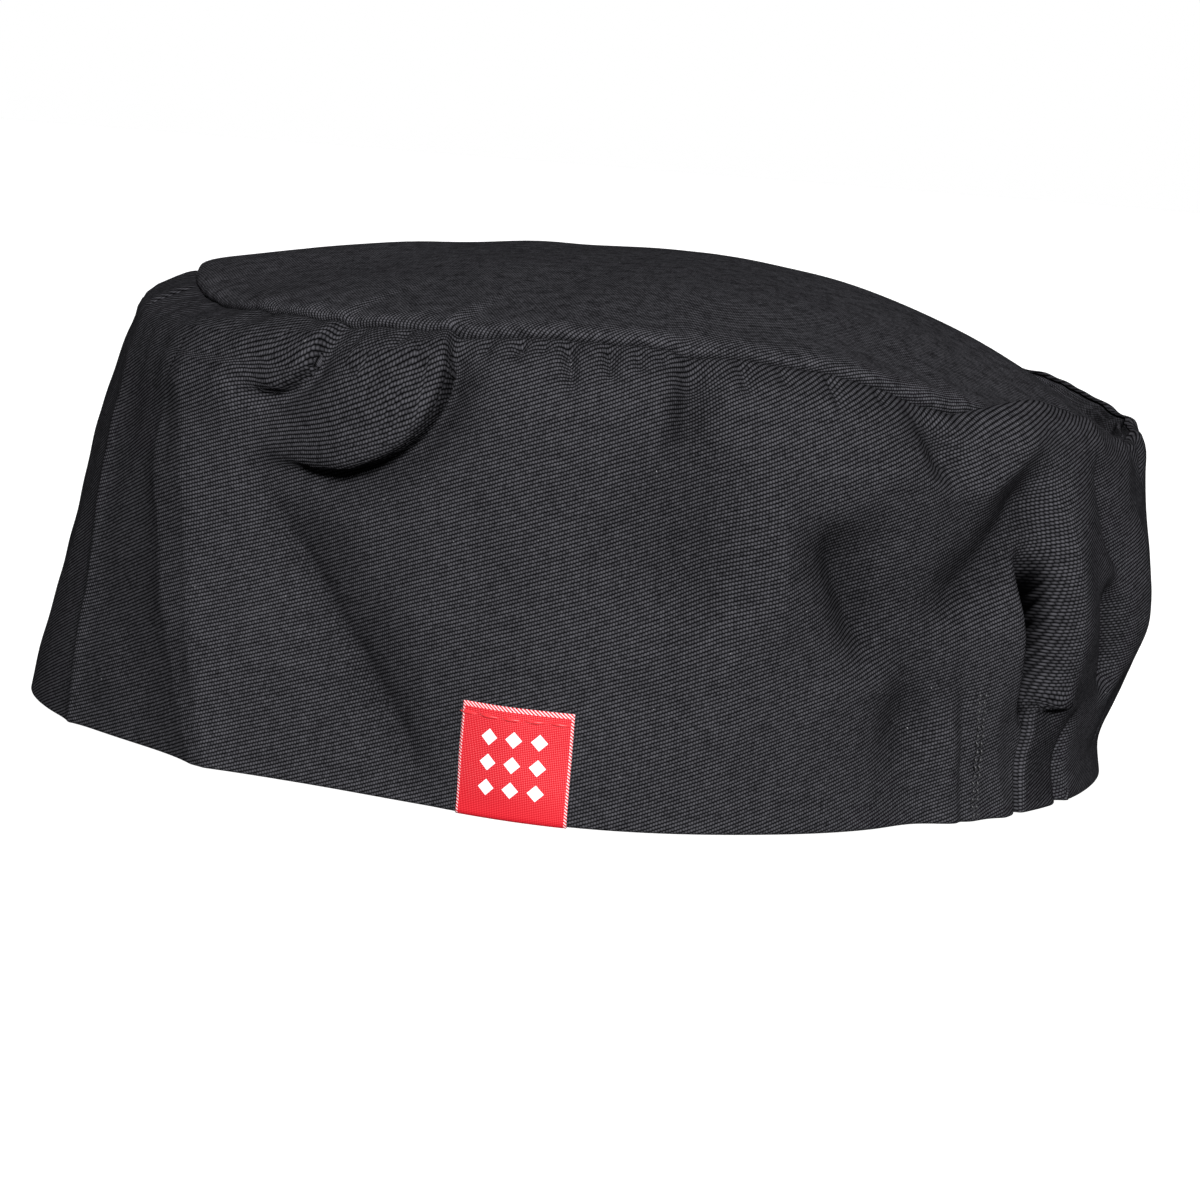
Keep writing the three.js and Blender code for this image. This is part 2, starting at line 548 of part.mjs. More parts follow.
function piece(name, geometry, color, roughness) {
  const material = new THREE.MeshStandardMaterial({ color, roughness, metalness: 0 });
  const mesh = new THREE.Mesh(geometry, material);
  mesh.name = name;
  return mesh;
}

const cap = new THREE.Group();
cap.add(
  piece("side_band", sideBand(), 0x232326, 0.85),
  piece("top_panel", topPanel(), 0x26262a, 0.8),
  piece("elastic_casing", elasticCasing(), 0x1d1d20, 0.9),
  piece("label", label(), 0xc0283c, 0.45),
);

// The origin goes under the middle of the outline
const middle = new THREE.Box3().setFromObject(cap).getCenter(new THREE.Vector3());
cap.position.set(-middle.x, -middle.y, 0);

export default cap;
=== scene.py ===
# %% [markdown]
# # A chef's skull cap in black twill
#
# The cap is four pieces of cloth: a side band, a top panel, an elastic strip inside the
# back of the hem, and a small red label. The construction model already holds them as
# plain solids at their real size. Here each one becomes a fine surface with folds,
# gathers, stitches and a weave, in the same place and in the same frame.

# %% Load the construction model
import math
from collections import namedtuple

import bpy
import numpy as np
from mathutils import Matrix, Vector


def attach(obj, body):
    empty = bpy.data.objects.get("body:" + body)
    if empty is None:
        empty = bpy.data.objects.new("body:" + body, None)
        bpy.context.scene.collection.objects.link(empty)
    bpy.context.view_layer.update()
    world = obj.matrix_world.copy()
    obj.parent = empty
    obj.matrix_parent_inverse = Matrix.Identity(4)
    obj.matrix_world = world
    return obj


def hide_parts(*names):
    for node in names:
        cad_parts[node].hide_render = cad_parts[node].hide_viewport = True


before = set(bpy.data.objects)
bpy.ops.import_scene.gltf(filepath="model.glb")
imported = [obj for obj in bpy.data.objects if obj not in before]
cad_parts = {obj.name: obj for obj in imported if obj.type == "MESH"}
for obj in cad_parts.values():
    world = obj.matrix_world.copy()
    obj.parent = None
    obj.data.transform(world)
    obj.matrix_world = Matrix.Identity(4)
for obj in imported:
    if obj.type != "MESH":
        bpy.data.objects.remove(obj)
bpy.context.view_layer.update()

# %% [markdown]
# ## The camera
#
# A photograph fixes where the camera stood. The hem's nearly level ellipse gives the
# camera's height, the size of the near side against the far side gives its distance, and
# the cap's slight turn in the picture is the camera's roll. A long lens from a little
# over half a metre gives the same flat perspective as the picture has. The camera is made
# first, because everything after this is judged through it.

# %% Camera
CAMERA_PLACE = Vector((0.00025, -0.620, 0.121))
CAMERA_AIM = Vector((0.00235, 0.0, 0.0245))
CAMERA_ROLL = math.radians(4.5)
LENS, SENSOR = 100.4, 36.0


def camera_matrix(place, aim, roll):
    """A frame that looks from place to aim, turned by roll about the line of sight."""
    ahead = (aim - place).normalized()
    right = ahead.cross(Vector((0, 0, 1))).normalized()
    up = right.cross(ahead)
    turned_right = math.cos(roll) * right + math.sin(roll) * up
    turned_up = math.cos(roll) * up - math.sin(roll) * right
    columns = Matrix((turned_right, turned_up, -ahead)).transposed()
    return Matrix.Translation(place) @ columns.to_4x4()


camera = bpy.data.objects.new("camera", bpy.data.cameras.new("camera"))
camera.data.lens = LENS
camera.data.sensor_width = SENSOR
camera.data.clip_start = 0.01
camera.matrix_world = camera_matrix(CAMERA_PLACE, CAMERA_AIM, CAMERA_ROLL)
bpy.context.collection.objects.link(camera)
bpy.context.scene.camera = camera
print("camera", tuple(round(v, 3) for v in camera.location), "lens", LENS)

# %% [markdown]
# ## The band as a formula
#
# A cap's side is a strip of cloth, so every point of it has two numbers: its turn, how
# far round the head it is, and its rise, how far up from the hem. The strip could be
# sculpted by hand, but a formula keeps the cloth one even surface, and the same two
# numbers later carry the weave. Four short tables give the plain form: the profile up
# the front, back and sides, how full the plan is, and how high the top seam runs.

# %% Sizes of the plain cap
LENGTH, BREADTH = 0.207, 0.174
FRONT_HEIGHT, CROWN_HEIGHT = 0.0805, 0.0903
CLOTH = 0.0014
GAP = 0.0003
MIDDLE = np.array([0.00058, 0.00037, 0.0])
FULL_CIRCLE = 360.0

PROFILE = np.array([  # rise, front, back, side: shares of half the length and breadth
    (0.00, 1.000, 0.945, 0.995),
    (0.10, 0.986, 0.936, 0.998),
    (0.22, 0.967, 0.958, 1.000),
    (0.36, 0.943, 0.990, 0.995),
    (0.55, 0.915, 1.000, 0.985),
    (0.74, 0.880, 0.985, 0.965),
    (0.88, 0.853, 0.972, 0.935),
    (0.95, 0.825, 0.965, 0.900),
    (1.00, 0.740, 0.950, 0.840),
])
HALF_PLAN = np.array([  # degrees from the front, fullness against an ellipse
    (0, 1.000), (12, 0.975), (23, 0.937), (39, 0.892), (55, 0.898), (75, 0.954),
    (90, 1.000), (114, 0.986), (130, 0.960), (151, 0.972), (166, 0.985), (180, 1.000),
])
PLAN = np.vstack([HALF_PLAN, (HALF_PLAN[-2::-1] - [FULL_CIRCLE, 0]) * [-1, 1]])
SEAM = np.array([  # degrees from the front, panel edge's height, and the band's puff over it
    (0, 1.000, 0), (25, 0.965, 0), (45, 0.965, 0), (65, 0.970, 0), (90, 0.985, 0), (110, 0.965, 0),
    (125, 0.920, 0), (134, 0.880, 0), (147, 0.819, 0.088), (154, 0.790, 0.08), (167, 0.755, 0.042),
    (180, 0.710, 0.110), (193, 0.675, 0.178), (213, 0.705, 0.202), (230, 0.830, 0.120),
    (255, 0.950, 0), (285, 0.975, 0), (320, 0.970, 0), (360, 1.000, 0),
])
print("tables:", len(PROFILE), "profiles,", len(PLAN), "plan angles,", len(SEAM), "seam heights")

# %% Smooth curves through the tables


def curve_through(xs, ys, x, closed=False):
    """Cubic pieces through (xs, ys) whose slope at a row is the weighted mean of the slopes beside it."""
    step = np.diff(xs)
    slope = np.diff(ys) / step
    tangent = np.empty(len(xs))
    tangent[1:-1] = (slope[:-1] * step[1:] + slope[1:] * step[:-1]) / (step[:-1] + step[1:])
    tangent[0], tangent[-1] = slope[0], slope[-1]
    if closed:
        joined = (slope[-1] * step[0] + slope[0] * step[-1]) / (step[0] + step[-1])
        tangent[0] = tangent[-1] = joined
    i = np.clip(np.searchsorted(xs, x, side="right") - 1, 0, len(xs) - 2)
    u = (x - xs[i]) / step[i]
    v = 1 - u
    start = (1 + 2 * u) * v * v * ys[i] + u * v * v * step[i] * tangent[i]
    end = u * u * (3 - 2 * u) * ys[i + 1] - u * u * v * step[i] * tangent[i + 1]
    return start + end


def smooth(x):
    """0 below 0, 1 above 1, and the S-shaped 3x^2 - 2x^3 between."""
    u = np.clip(x, 0, 1)
    return u * u * (3 - 2 * u)


def plan_radius(angle, rise):
    """An ellipse with the profile's half axes, times the plan's fullness, which fades out up the band."""
    c, s = np.cos(np.radians(angle)), np.sin(np.radians(angle))
    front = curve_through(PROFILE[:, 0], PROFILE[:, 1], rise)
    back = curve_through(PROFILE[:, 0], PROFILE[:, 2], rise)
    side = curve_through(PROFILE[:, 0], PROFILE[:, 3], rise)
    along = np.where(c > 0, front, back) * LENGTH / 2
    across = side * BREADTH / 2
    fullness = curve_through(PLAN[:, 0], PLAN[:, 1], angle % FULL_CIRCLE, closed=True)
    return (1 + (fullness - 1) * (1 - rise * rise)) / np.hypot(c / along, s / across)


GIRTH_RISE = 0.3
ring_angles = np.linspace(0, FULL_CIRCLE, 721)
ring_radius = plan_radius(ring_angles, np.full(721, GIRTH_RISE))
ring = ring_radius[:, None] * np.stack([np.cos(np.radians(ring_angles)), np.sin(np.radians(ring_angles))], 1)
ring_lengths = np.concatenate([[0], np.cumsum(np.linalg.norm(np.diff(ring, axis=0), axis=1))])
GIRTH = ring_lengths[-1]
ROUND = GIRTH / FRONT_HEIGHT


def angle_of(turn):
    """The angle whose share of the length round the band is the turn."""
    return np.interp((turn % 1.0) * GIRTH, ring_lengths, ring_angles)


def puff_height(turn):
    """How far the gathered band puffs up over the panel's edge."""
    return curve_through(SEAM[:, 0], SEAM[:, 2], angle_of(turn), closed=True) * FRONT_HEIGHT


def seam_height(turn):
    """The height of the top seam over the hem: the panel's edge and the puff."""
    edge = curve_through(SEAM[:, 0], SEAM[:, 1], angle_of(turn), closed=True) * FRONT_HEIGHT
    return edge + puff_height(turn)


def plain_band(turn, rise):
    """The plan radius turned to the angle, with the height rising evenly from the hem to the seam."""
    angle = angle_of(turn)
    radius = plan_radius(angle, np.clip(rise, 0, 1))
    c, s = np.cos(np.radians(angle)), np.sin(np.radians(angle))
    return np.stack([-radius * c, -radius * s, seam_height(turn) * rise], -1) + MIDDLE


def outward(turn, rise):
    """The plain band's normal, from the cross product of its two slopes, made level towards the hem."""
    step = 0.002
    around = plain_band(turn + step, rise) - plain_band(turn - step, rise)
    up = plain_band(turn, np.minimum(rise + step, 1)) - plain_band(turn, np.maximum(rise - step, 0))
    normal = np.cross(around, up)
    normal /= np.linalg.norm(normal, axis=-1, keepdims=True)
    normal[..., 2] *= np.clip(rise, 0, 1)
    return normal


print(f"girth {GIRTH * 1000:.0f} mm, seam {seam_height(np.array([0.0, 0.25, 0.5])) * 1000} mm")

# %% [markdown]
# ## Folds as a table
#
# A fold runs along a path. On one side the cloth stands out, on the other it sinks, and
# both die away with distance. So one formula draws a crease, a hollow, a bulge or a
# tuck, and a table with one row for each holds its path and its lifts. In a real tuck
# the upper cloth also slides over the lower, and the slide column moves it sideways.
# A cloth simulation would give folds of its own, but not the ones on this very cap.

# %% Fold table
Fold = namedtuple(
    "Fold", "name start bow end edge left_lift left_reach right_lift right_reach power open slide",
    defaults=("none", 0.0))
FOLDS = [  # paths are (turn, rise); lengths are shares of the front height
    Fold("front crease", (0.049, 0.870), (0.051, 0.600), (0.059, 0.000), 0.01,
         0.018, 0.04, 0.018, 0.04, 1.0, "end"),
    Fold("front quarter ridge", (0.096, 0.820), (0.088, 0.500), (0.121, 0.000), 0.02,
         0.056, 0.34, 0.056, 0.18, 1.0, "both"),
    Fold("front shoulder edge", (0.094, 0.820), (0.112, 0.828), (0.136, 0.840), 0.02,
         0.036, 0.1, 0.036, 0.13, 1.0),
    Fold("small front tuck", (0.124, 0.842), (0.154, 0.845), (0.149, 1.000), 0.012,
         0.034, 0.08, -0.050, 0.05, 2.0, "end", 0.032),
    Fold("great tuck", (0.127, 0.690), (0.202, 0.690), (0.190, 1.000), 0.015,
         0.054, 0.17, -0.070, 0.08, 2.0, "end", 0.05),
    Fold("long valley", (0.112, 0.800), (0.160, 0.400), (0.216, -0.150), 0.02,
         -0.052, 0.17, -0.052, 0.24, 1.1),
    Fold("small pleat", (0.272, 1.000), (0.272, 0.930), (0.268, 0.740), 0.02,
         -0.060, 0.05, -0.060, 0.04, 2.0, "start"),
    Fold("middle hollow", (0.280, 0.880), (0.274, 0.640), (0.282, 0.340), 0.03,
         -0.050, 0.09, -0.050, 0.2, 1.7),
    Fold("middle ridge", (0.297, 0.880), (0.300, 0.620), (0.299, 0.320), 0.02,
         0.046, 0.07, 0.046, 0.1, 1.4),
    Fold("hem facing line", (0.210, 0.262), (0.250, 0.272), (0.300, 0.270), 0.02,
         -0.006, 0.03, -0.006, 0.03, 1.0),
    Fold("back bulge crest", (0.300, 0.725), (0.332, 0.850), (0.366, 0.780), 0.02,
         0.034, 0.16, 0.034, 0.12, 1.3),
    Fold("back bulge pocket", (0.312, 0.710), (0.323, 0.560), (0.337, 0.330), 0.02,
         -0.082, 0.12, -0.082, 0.065, 1.6),
    Fold("slanting valley", (0.397, 0.910), (0.390, 0.660), (0.335, 0.420), 0.02,
         -0.074, 0.09, -0.074, 0.085, 1.6),
    Fold("ridge up to the puff", (0.360, 0.775), (0.374, 0.850), (0.398, 0.940), 0.02,
         0.040, 0.06, 0.040, 0.05, 1.3),
    Fold("dent under the seam", (0.350, 1.000), (0.350, 0.930), (0.361, 0.810), 0.02,
         -0.062, 0.05, -0.062, 0.06, 2.0, "start"),
    Fold("back quarter ridge", (0.391, 0.950), (0.405, 0.620), (0.411, 0.150), 0.02,
         0.056, 0.11, 0.056, 0.045, 1.7),
    Fold("deep slit", (0.390, 0.690), (0.395, 0.430), (0.402, 0.190), 0.01,
         -0.080, 0.026, -0.110, 0.026, 2.0, "none", 0.012),
    Fold("back hollow", (0.430, 0.620), (0.441, 0.440), (0.452, 0.280), 0.02,
         -0.084, 0.05, -0.084, 0.06, 2.0),
    Fold("back crease", (0.423, 0.930), (0.420, 0.800), (0.446, 0.580), 0.01,
         -0.034, 0.06, -0.034, 0.03, 1.2),
    Fold("back ridge", (0.452, 0.900), (0.462, 0.600), (0.464, 0.300), 0.02,
         0.022, 0.06, 0.022, 0.07, 1.6),
    Fold("lower back hollow", (0.345, 0.380), (0.350, 0.220), (0.358, 0.020), 0.02,
         -0.022, 0.09, -0.022, 0.1, 2.0, "end"),
    Fold("lower back ridge", (0.361, 0.320), (0.369, 0.170), (0.373, 0.000), 0.02,
         0.020, 0.06, 0.020, 0.07, 1.6, "end"),
    Fold("corner notch", (0.476, 1.000), (0.478, 0.950), (0.470, 0.860), 0.02,
         -0.034, 0.04, -0.034, 0.05, 2.0, "start"),
    Fold("back top crease", (0.490, 0.900), (0.515, 0.860), (0.550, 0.920), 0.02,
         -0.020, 0.06, -0.020, 0.07, 2.0),
    Fold("back middle hollow", (0.490, 0.720), (0.510, 0.500), (0.490, 0.200), 0.02,
         -0.026, 0.1, -0.026, 0.1, 2.0),
    Fold("far back ridge", (0.585, 0.920), (0.562, 0.700), (0.585, 0.300), 0.02,
         0.034, 0.1, 0.034, 0.09, 1.5),
    Fold("far slit", (0.612, 0.620), (0.612, 0.350), (0.604, 0.000), 0.02,
         -0.060, 0.035, -0.060, 0.035, 2.0, "end"),
    Fold("far slanting tuck", (0.615, 0.940), (0.640, 0.660), (0.690, 0.400), 0.03,
         0.030, 0.14, -0.036, 0.1, 2.0),
    Fold("far pleat", (0.735, 1.000), (0.733, 0.880), (0.730, 0.740), 0.02,
         -0.030, 0.04, -0.030, 0.04, 2.0, "start"),
    Fold("far great tuck", (0.805, 1.000), (0.800, 0.700), (0.865, 0.640), 0.02,
         0.042, 0.16, -0.036, 0.13, 2.0, "start", 0.035),
    Fold("far long valley", (0.862, 0.640), (0.835, 0.380), (0.790, 0.040), 0.02,
         -0.036, 0.15, -0.036, 0.15, 1.2, "start"),
    Fold("far quarter ridge", (0.906, 0.830), (0.912, 0.480), (0.885, 0.000), 0.02,
         0.040, 0.15, 0.040, 0.24, 1.0, "both"),
]
print(len(FOLDS), "folds")

# %% [markdown]
# ## Small folds
#
# Too small to matter for the plain solids, but plain to see: short puckers that hang from
# the top seam, the line of the tacking, and the flap behind the slit, where the end of the
# hem is turned over the elastic and the puffed cloth above hangs over it. A short helper
# writes the puckers, which differ only in place, length and depth.

# %% Small fold table


def pucker(turn, length, depth, lean=0.0):
    """A short valley down from the seam."""
    return Fold("pucker", (turn, 1.0), (turn + lean / 2, 1 - length / 2), (turn + lean, 1 - length), 0.01,
                -depth, 0.014, -depth, 0.014, 1.6, "start")


PUCKERS = [  # turn, length, depth, lean
    (0.036, 0.07, 0.010, 0.001), (0.159, 0.06, 0.008, 0.001), (0.1755, 0.07, 0.012, -0.002),
    (0.204, 0.05, 0.010, 0.0), (0.214, 0.05, 0.024, 0.002), (0.2225, 0.05, 0.010, 0.001),
    (0.230, 0.125, 0.026, 0.005), (0.244, 0.09, 0.020, 0.002), (0.254, 0.07, 0.014, 0.001),
    (0.262, 0.05, 0.008, 0.0), (0.2885, 0.09, 0.014, 0.0), (0.302, 0.07, 0.008, -0.001),
    (0.3185, 0.10, 0.020, -0.001), (0.335, 0.07, 0.012, -0.002), (0.666, 0.08, 0.014, 0.001),
    (0.692, 0.06, 0.010, 0.0), (0.710, 0.11, 0.020, -0.002), (0.752, 0.07, 0.012, 0.001),
    (0.764, 0.09, 0.018, 0.0), (0.778, 0.06, 0.010, -0.001), (0.842, 0.07, 0.012, 0.001),
    (0.951, 0.08, 0.010, 0.0),
]
SMALL_FOLDS = [pucker(*row) for row in PUCKERS] + [
    Fold("floor of the slit", (0.3900, 0.690), (0.3960, 0.430), (0.4020, 0.220), 0.006,
         -0.060, 0.024, -0.060, 0.030, 2.0),
    Fold("front quarter crease", (0.1085, 0.830), (0.1035, 0.500), (0.1265, 0.000), 0.02,
         0.032, 0.14, 0.032, 0.10, 1.0, "end"),
    Fold("shade under the bulge", (0.343, 0.500), (0.350, 0.320), (0.353, 0.100), 0.02,
         -0.034, 0.12, -0.034, 0.08, 1.6),
    Fold("long valley crease", (0.126, 0.680), (0.1605, 0.350), (0.205, 0.020), 0.01,
         -0.020, 0.05, -0.020, 0.04, 1.0),
    Fold("tack line", (0.3675, 0.420), (0.372, 0.200), (0.375, 0.000), 0.01,
         -0.014, 0.02, -0.014, 0.02, 1.5, "end"),
    Fold("ply between tack and slit", (0.380, 0.400), (0.387, 0.150), (0.394, 0.000), 0.01,
         0.012, 0.035, 0.012, 0.03, 1.5, "end"),
    Fold("flap's left edge", (0.4025, 0.300), (0.4030, 0.150), (0.4025, 0.000), 0.006,
         -0.030, 0.012, -0.050, 0.012, 2.0, "end"),
    Fold("puff over the flap", (0.402, 0.285), (0.409, 0.260), (0.417, 0.280), 0.006,
         0.016, 0.05, -0.032, 0.05, 2.0, "none", 0.02),
    Fold("flap's right edge", (0.4255, 0.270), (0.4280, 0.120), (0.4310, 0.000), 0.008,
         -0.034, 0.020, -0.034, 0.020, 1.6, "end"),
]
print(len(SMALL_FOLDS), "small folds")

# %% Distance from a fold
PATH_STEPS = 20
FADE = 0.35
SEAM_HOLD, SEAM_HOLD_REACH = 0.8, 0.09
SEWN_REACH = 0.025


def fold_path(fold):
    """A quadratic curve from start to end, pulled towards bow, unrolled in shares of the front height."""
    u = np.linspace(0, 1, PATH_STEPS + 1)[:, None]
    start, bow, end = (np.array(p) * [ROUND, 1] for p in (fold.start, fold.bow, fold.end))
    return (1 - u) ** 2 * start + 2 * u * (1 - u) * bow + u ** 2 * end


def nearest_on_path(path, x, y):
    """Signed distance to a chain of straight steps, positive on its left, the share of the way
    along it, and the left-hand direction there."""
    distance = np.full(x.shape, np.inf)
    along = np.zeros(x.shape)
    left = np.zeros(x.shape + (2,))
    for i, (start, step) in enumerate(zip(path[:-1], np.diff(path, axis=0))):
        px, py = x - start[0], y - start[1]
        u = np.clip((px * step[0] + py * step[1]) / step.dot(step), 0, 1)
        away = np.hypot(px - u * step[0], py - u * step[1])
        side = np.where(step[0] * py - step[1] * px >= 0, 1.0, -1.0)
        nearer = away < np.abs(distance)
        distance = np.where(nearer, side * away, distance)
        along = np.where(nearer, (i + u) / (len(path) - 1), along)
        left[nearer] = np.array([-step[1], step[0]]) / np.linalg.norm(step)
    return distance, along, left


def fold_field(fold, turn, rise):
    """The lift is the left and right lifts blended over the edge, times a bell that falls with
    distance, times a fade at closed ends. The slide moves the cloth on the left to the right."""
    middle = (fold.start[0] + fold.end[0]) / 2
    nearest_turn = (turn - middle + 0.5) % 1.0 - 0.5 + middle
    distance, along, left = nearest_on_path(fold_path(fold), nearest_turn * ROUND, rise)
    leftness = 0.5 + 0.5 * np.tanh(distance / fold.edge)
    reach = np.where(distance > 0, fold.left_reach, fold.right_reach)
    bell = np.exp(-((np.abs(distance) / reach) ** fold.power))
    bell *= 1 if fold.open in ("start", "both") else smooth(along / FADE)
    bell *= 1 if fold.open in ("end", "both") else smooth((1 - along) / FADE)
    lift = (leftness * fold.left_lift + (1 - leftness) * fold.right_lift) * bell
    slide = -fold.slide * (leftness * bell)[..., None] * left
    return lift, slide


# %% [markdown]
# ## Gathers, puckers and a little unevenness
#
# The elastic at the back draws the hem up into small upright gathers. The top seam
# holds a longer strip to a shorter edge, so the cloth puckers just under it. And no worn
# cloth is perfectly even. Waves of random length and direction, summed from a seeded
# generator, give that last unevenness the same way on every run.

# %% Gathers and waves
CASING_FROM = 0.378
CASING_HEIGHT = 0.024
GATHER_COUNT = 9
GATHER_DEPTH = 0.0009
FINE_GATHERS_FROM = 0.426
FINE_GATHERS_START = 0.006
FINE_GATHER_DEPTH = 0.0005
PUCKER_DEPTH = 0.00015
PUCKER_REACH = 0.10
UNEVEN = 0.00022
random = np.random.default_rng(7)


def gather_lift(turn, rise):
    """A cosine round the back of the hem that fades at the casing's ends and above it."""
    place = (turn - CASING_FROM) / (1 - 2 * CASING_FROM)
    ends = smooth(place * GATHER_COUNT) * smooth((1 - place) * GATHER_COUNT)
    casing_rise = CASING_HEIGHT / seam_height(turn)
    height = 1 - smooth((rise - casing_rise) / (1 - casing_rise))
    return GATHER_DEPTH * ends * height * np.cos(2 * np.pi * GATHER_COUNT * place)


def waves(count, shortest, longest):
    """Rows of wave numbers, phases and heights; longer waves are higher."""
    length = np.exp(random.uniform(np.log(shortest), np.log(longest), count))
    heading = random.uniform(0, np.pi, count)
    numbers = 2 * np.pi / length
    height = length / longest / math.sqrt(count)
    return numbers * np.cos(heading), numbers * np.sin(heading), random.uniform(0, 2 * np.pi, count), height


CLOTH_WAVES = waves(28, 0.008, 0.045)
SEAM_WAVES = waves(18, 0.006, 0.016)
GATHER_WAVES = waves(14, 0.0035, 0.008)


def sum_of_waves(rows, x, y):
    """The sum of sines with the rows' wave numbers, phases and heights."""
    total = np.zeros(np.broadcast(x, y).shape)
    for kx, ky, phase, height in zip(*rows):
        total += height * np.sin(kx * x + ky * y + phase)
    return total


def sum_of_folds(folds, turn, rise):
    """The lifts in metres and the slides of all folds, added up."""
    lift = np.zeros(turn.shape)
    slide = np.zeros(turn.shape + (2,))
    for fold in folds:
        one_lift, one_slide = fold_field(fold, turn, rise)
        lift += one_lift * FRONT_HEIGHT
        slide += one_slide
    return lift, slide


def band_lift(turn, rise):
    """All folds, the main ones flattened where the seam holds the cloth, the gathers, the
    puckers that die out below the seam, and the unevenness."""
    lift, slide = sum_of_folds(FOLDS, turn, rise)
    held = 1 - SEAM_HOLD * smooth((rise - 1 + SEAM_HOLD_REACH) / SEAM_HOLD_REACH)
    small_lift, small_slide = sum_of_folds(SMALL_FOLDS, turn, rise)
    sewn = 1 - smooth((rise - 1 + SEWN_REACH) / SEWN_REACH)
    lift, slide = lift * held + small_lift * sewn, slide * held[..., None] + small_slide
    x, y = turn * GIRTH, rise * seam_height(turn)
    from_ends = np.minimum(turn - FINE_GATHERS_FROM, 1 - FINE_GATHERS_FROM - turn) * GIRTH
    behind = smooth(from_ends / FINE_GATHERS_START)
    low = 1 - smooth((rise - 0.2) / 0.2)
    lift += 3 * FINE_GATHER_DEPTH * sum_of_waves(GATHER_WAVES, x, 0.2 * y) * behind * low
    puckers = sum_of_waves(SEAM_WAVES, x, 0 * y) * np.exp(-((1 - rise) / PUCKER_REACH) ** 1.5)
    lift += gather_lift(turn, rise) + 3 * PUCKER_DEPTH * puckers
    lift += 3 * UNEVEN * sum_of_waves(CLOTH_WAVES, x, y) * smooth(rise * 6)
    return lift, slide


def band_point(turn, rise, inset=0.0, folds=None):
    """The plain band, slid and lifted by the folds and set in by inset."""
    lift, slide = folds if folds is not None else band_lift(turn, rise)
    slid_turn = turn + slide[..., 0] / ROUND
    slid_rise = np.clip(rise + slide[..., 1], 0, 1)
    direction = outward(slid_turn, slid_rise)
    return plain_band(slid_turn, slid_rise) + direction * (lift - inset)[..., None]


# %% [markdown]
# ## From a grid of points to a closed piece of cloth
#
# Cloth has two faces and an edge all round. So each piece is two grids of points, the
# outer and the inner face, with the same rows and columns, joined along their edges.
# The weave follows the cloth, so the grid also carries a UV map measured in metres.

# %% Closed sheets


def sheet_mesh(name, outer, inner, uv, around=False, pole=False, painted_light_values=None):
    """Quads between neighbouring rows and columns on both faces, and a rim that joins them.
    uv has one more column than a sheet that goes around. The last argument holds the painted shade
    and highlight of each point of the outer face; without it the whole piece is even."""
    rows, columns = outer.shape[:2]
    points = np.concatenate([outer.reshape(-1, 3), inner.reshape(-1, 3)])
    columns_used = columns if around else columns - 1
    r, c = np.meshgrid(np.arange(rows - 1), np.arange(columns_used), indexing="ij")
    corners = [(r, c), (r, c + 1), (r + 1, c + 1), (r + 1, c)]

    def index(row, column, face):
        wrapped = column % columns
        if pole:
            wrapped = np.where(row == rows - 1, 0, wrapped)
        return face * rows * columns + row * columns + wrapped

    faces, textures = [], []

    def add(cells, sides):
        corner_points = [index(row, col, side) for (row, col), side in zip(cells, sides)]
        faces.append(np.stack(corner_points, -1).reshape(-1, 4))
        textures.append(np.stack([uv[row, col] for row, col in cells], -2).reshape(-1, 4, 2))

    add(corners, (0, 0, 0, 0))
    add(corners[::-1], (1, 1, 1, 1))
    edge = np.arange(columns_used)
    first = np.zeros_like(edge)
    add([(first, edge + 1), (first, edge), (first, edge), (first, edge + 1)], (0, 0, 1, 1))
    if not pole:
        last = first + rows - 1
        add([(last, edge), (last, edge + 1), (last, edge + 1), (last, edge)], (0, 0, 1, 1))
    if not around:
        edge = np.arange(rows - 1)
        left, right = np.zeros_like(edge), np.full_like(edge, columns - 1)
        add([(edge, left), (edge + 1, left), (edge + 1, left), (edge, left)], (0, 0, 1, 1))
        add([(edge + 1, right), (edge, right), (edge, right), (edge + 1, right)], (0, 0, 1, 1))
    # Painted light of 1 everywhere, unless painted shade and highlight are given for the outer face.
    painted_light = np.ones(len(points))
    if painted_light_values is not None:
        painted_light[:rows * columns] = painted_light_values.ravel()
    return mesh_object(name, points, np.concatenate(faces), np.concatenate(textures), painted_light)


def mesh_object(name, points, quads, textures=None, painted_light=None):
    """A smooth mesh of quads, with a triangle where a quad repeats a point, and unused points left out."""
    repeats = quads == np.roll(quads, -1, axis=1)
    triangle = repeats.any(axis=1)
    keep = ~repeats | ~triangle[:, None]
    sizes = keep.sum(axis=1)
    loops = quads[keep]
    used, loops = np.unique(loops, return_inverse=True)
    mesh = bpy.data.meshes.new(name)
    mesh.vertices.add(len(used))
    mesh.vertices.foreach_set("co", points[used].ravel())
    mesh.loops.add(len(loops))
    mesh.loops.foreach_set("vertex_index", loops.ravel().astype(np.int32))
    mesh.polygons.add(len(sizes))
    mesh.polygons.foreach_set("loop_start", np.concatenate([[0], np.cumsum(sizes)[:-1]]).astype(np.int32))
    mesh.polygons.foreach_set("use_smooth", np.ones(len(sizes), bool))
    if textures is not None:
        layer = mesh.uv_layers.new(name="cloth")
        layer.data.foreach_set("uv", textures[keep].ravel())
    # A point attribute holds the painted shade and highlight that scale the cloth's colour.
    if painted_light is not None:
        attribute = mesh.attributes.new("painted_light", "FLOAT", "POINT")
        attribute.data.foreach_set("value", painted_light[used].astype(np.float32))
    mesh.update(calc_edges=True)
    mesh.validate()
    piece = bpy.data.objects.new(name, mesh)
    bpy.context.collection.objects.link(piece)
    print(name, len(mesh.vertices), "vertices", len(mesh.polygons), "faces")
    return piece


# %% [markdown]
# ## The side band
#
# The band is a strip folded double at the hem, so the hem is a soft rounded edge with no
# stitches on it. At the top it is sewn to the panel with the raw edges turned inside, so
# its face rolls over into the seam. Columns are closer on the side and back with the
# small folds. The band's own join, where the strip's ends meet, is at the middle of the
# back, and the grid starts there too.

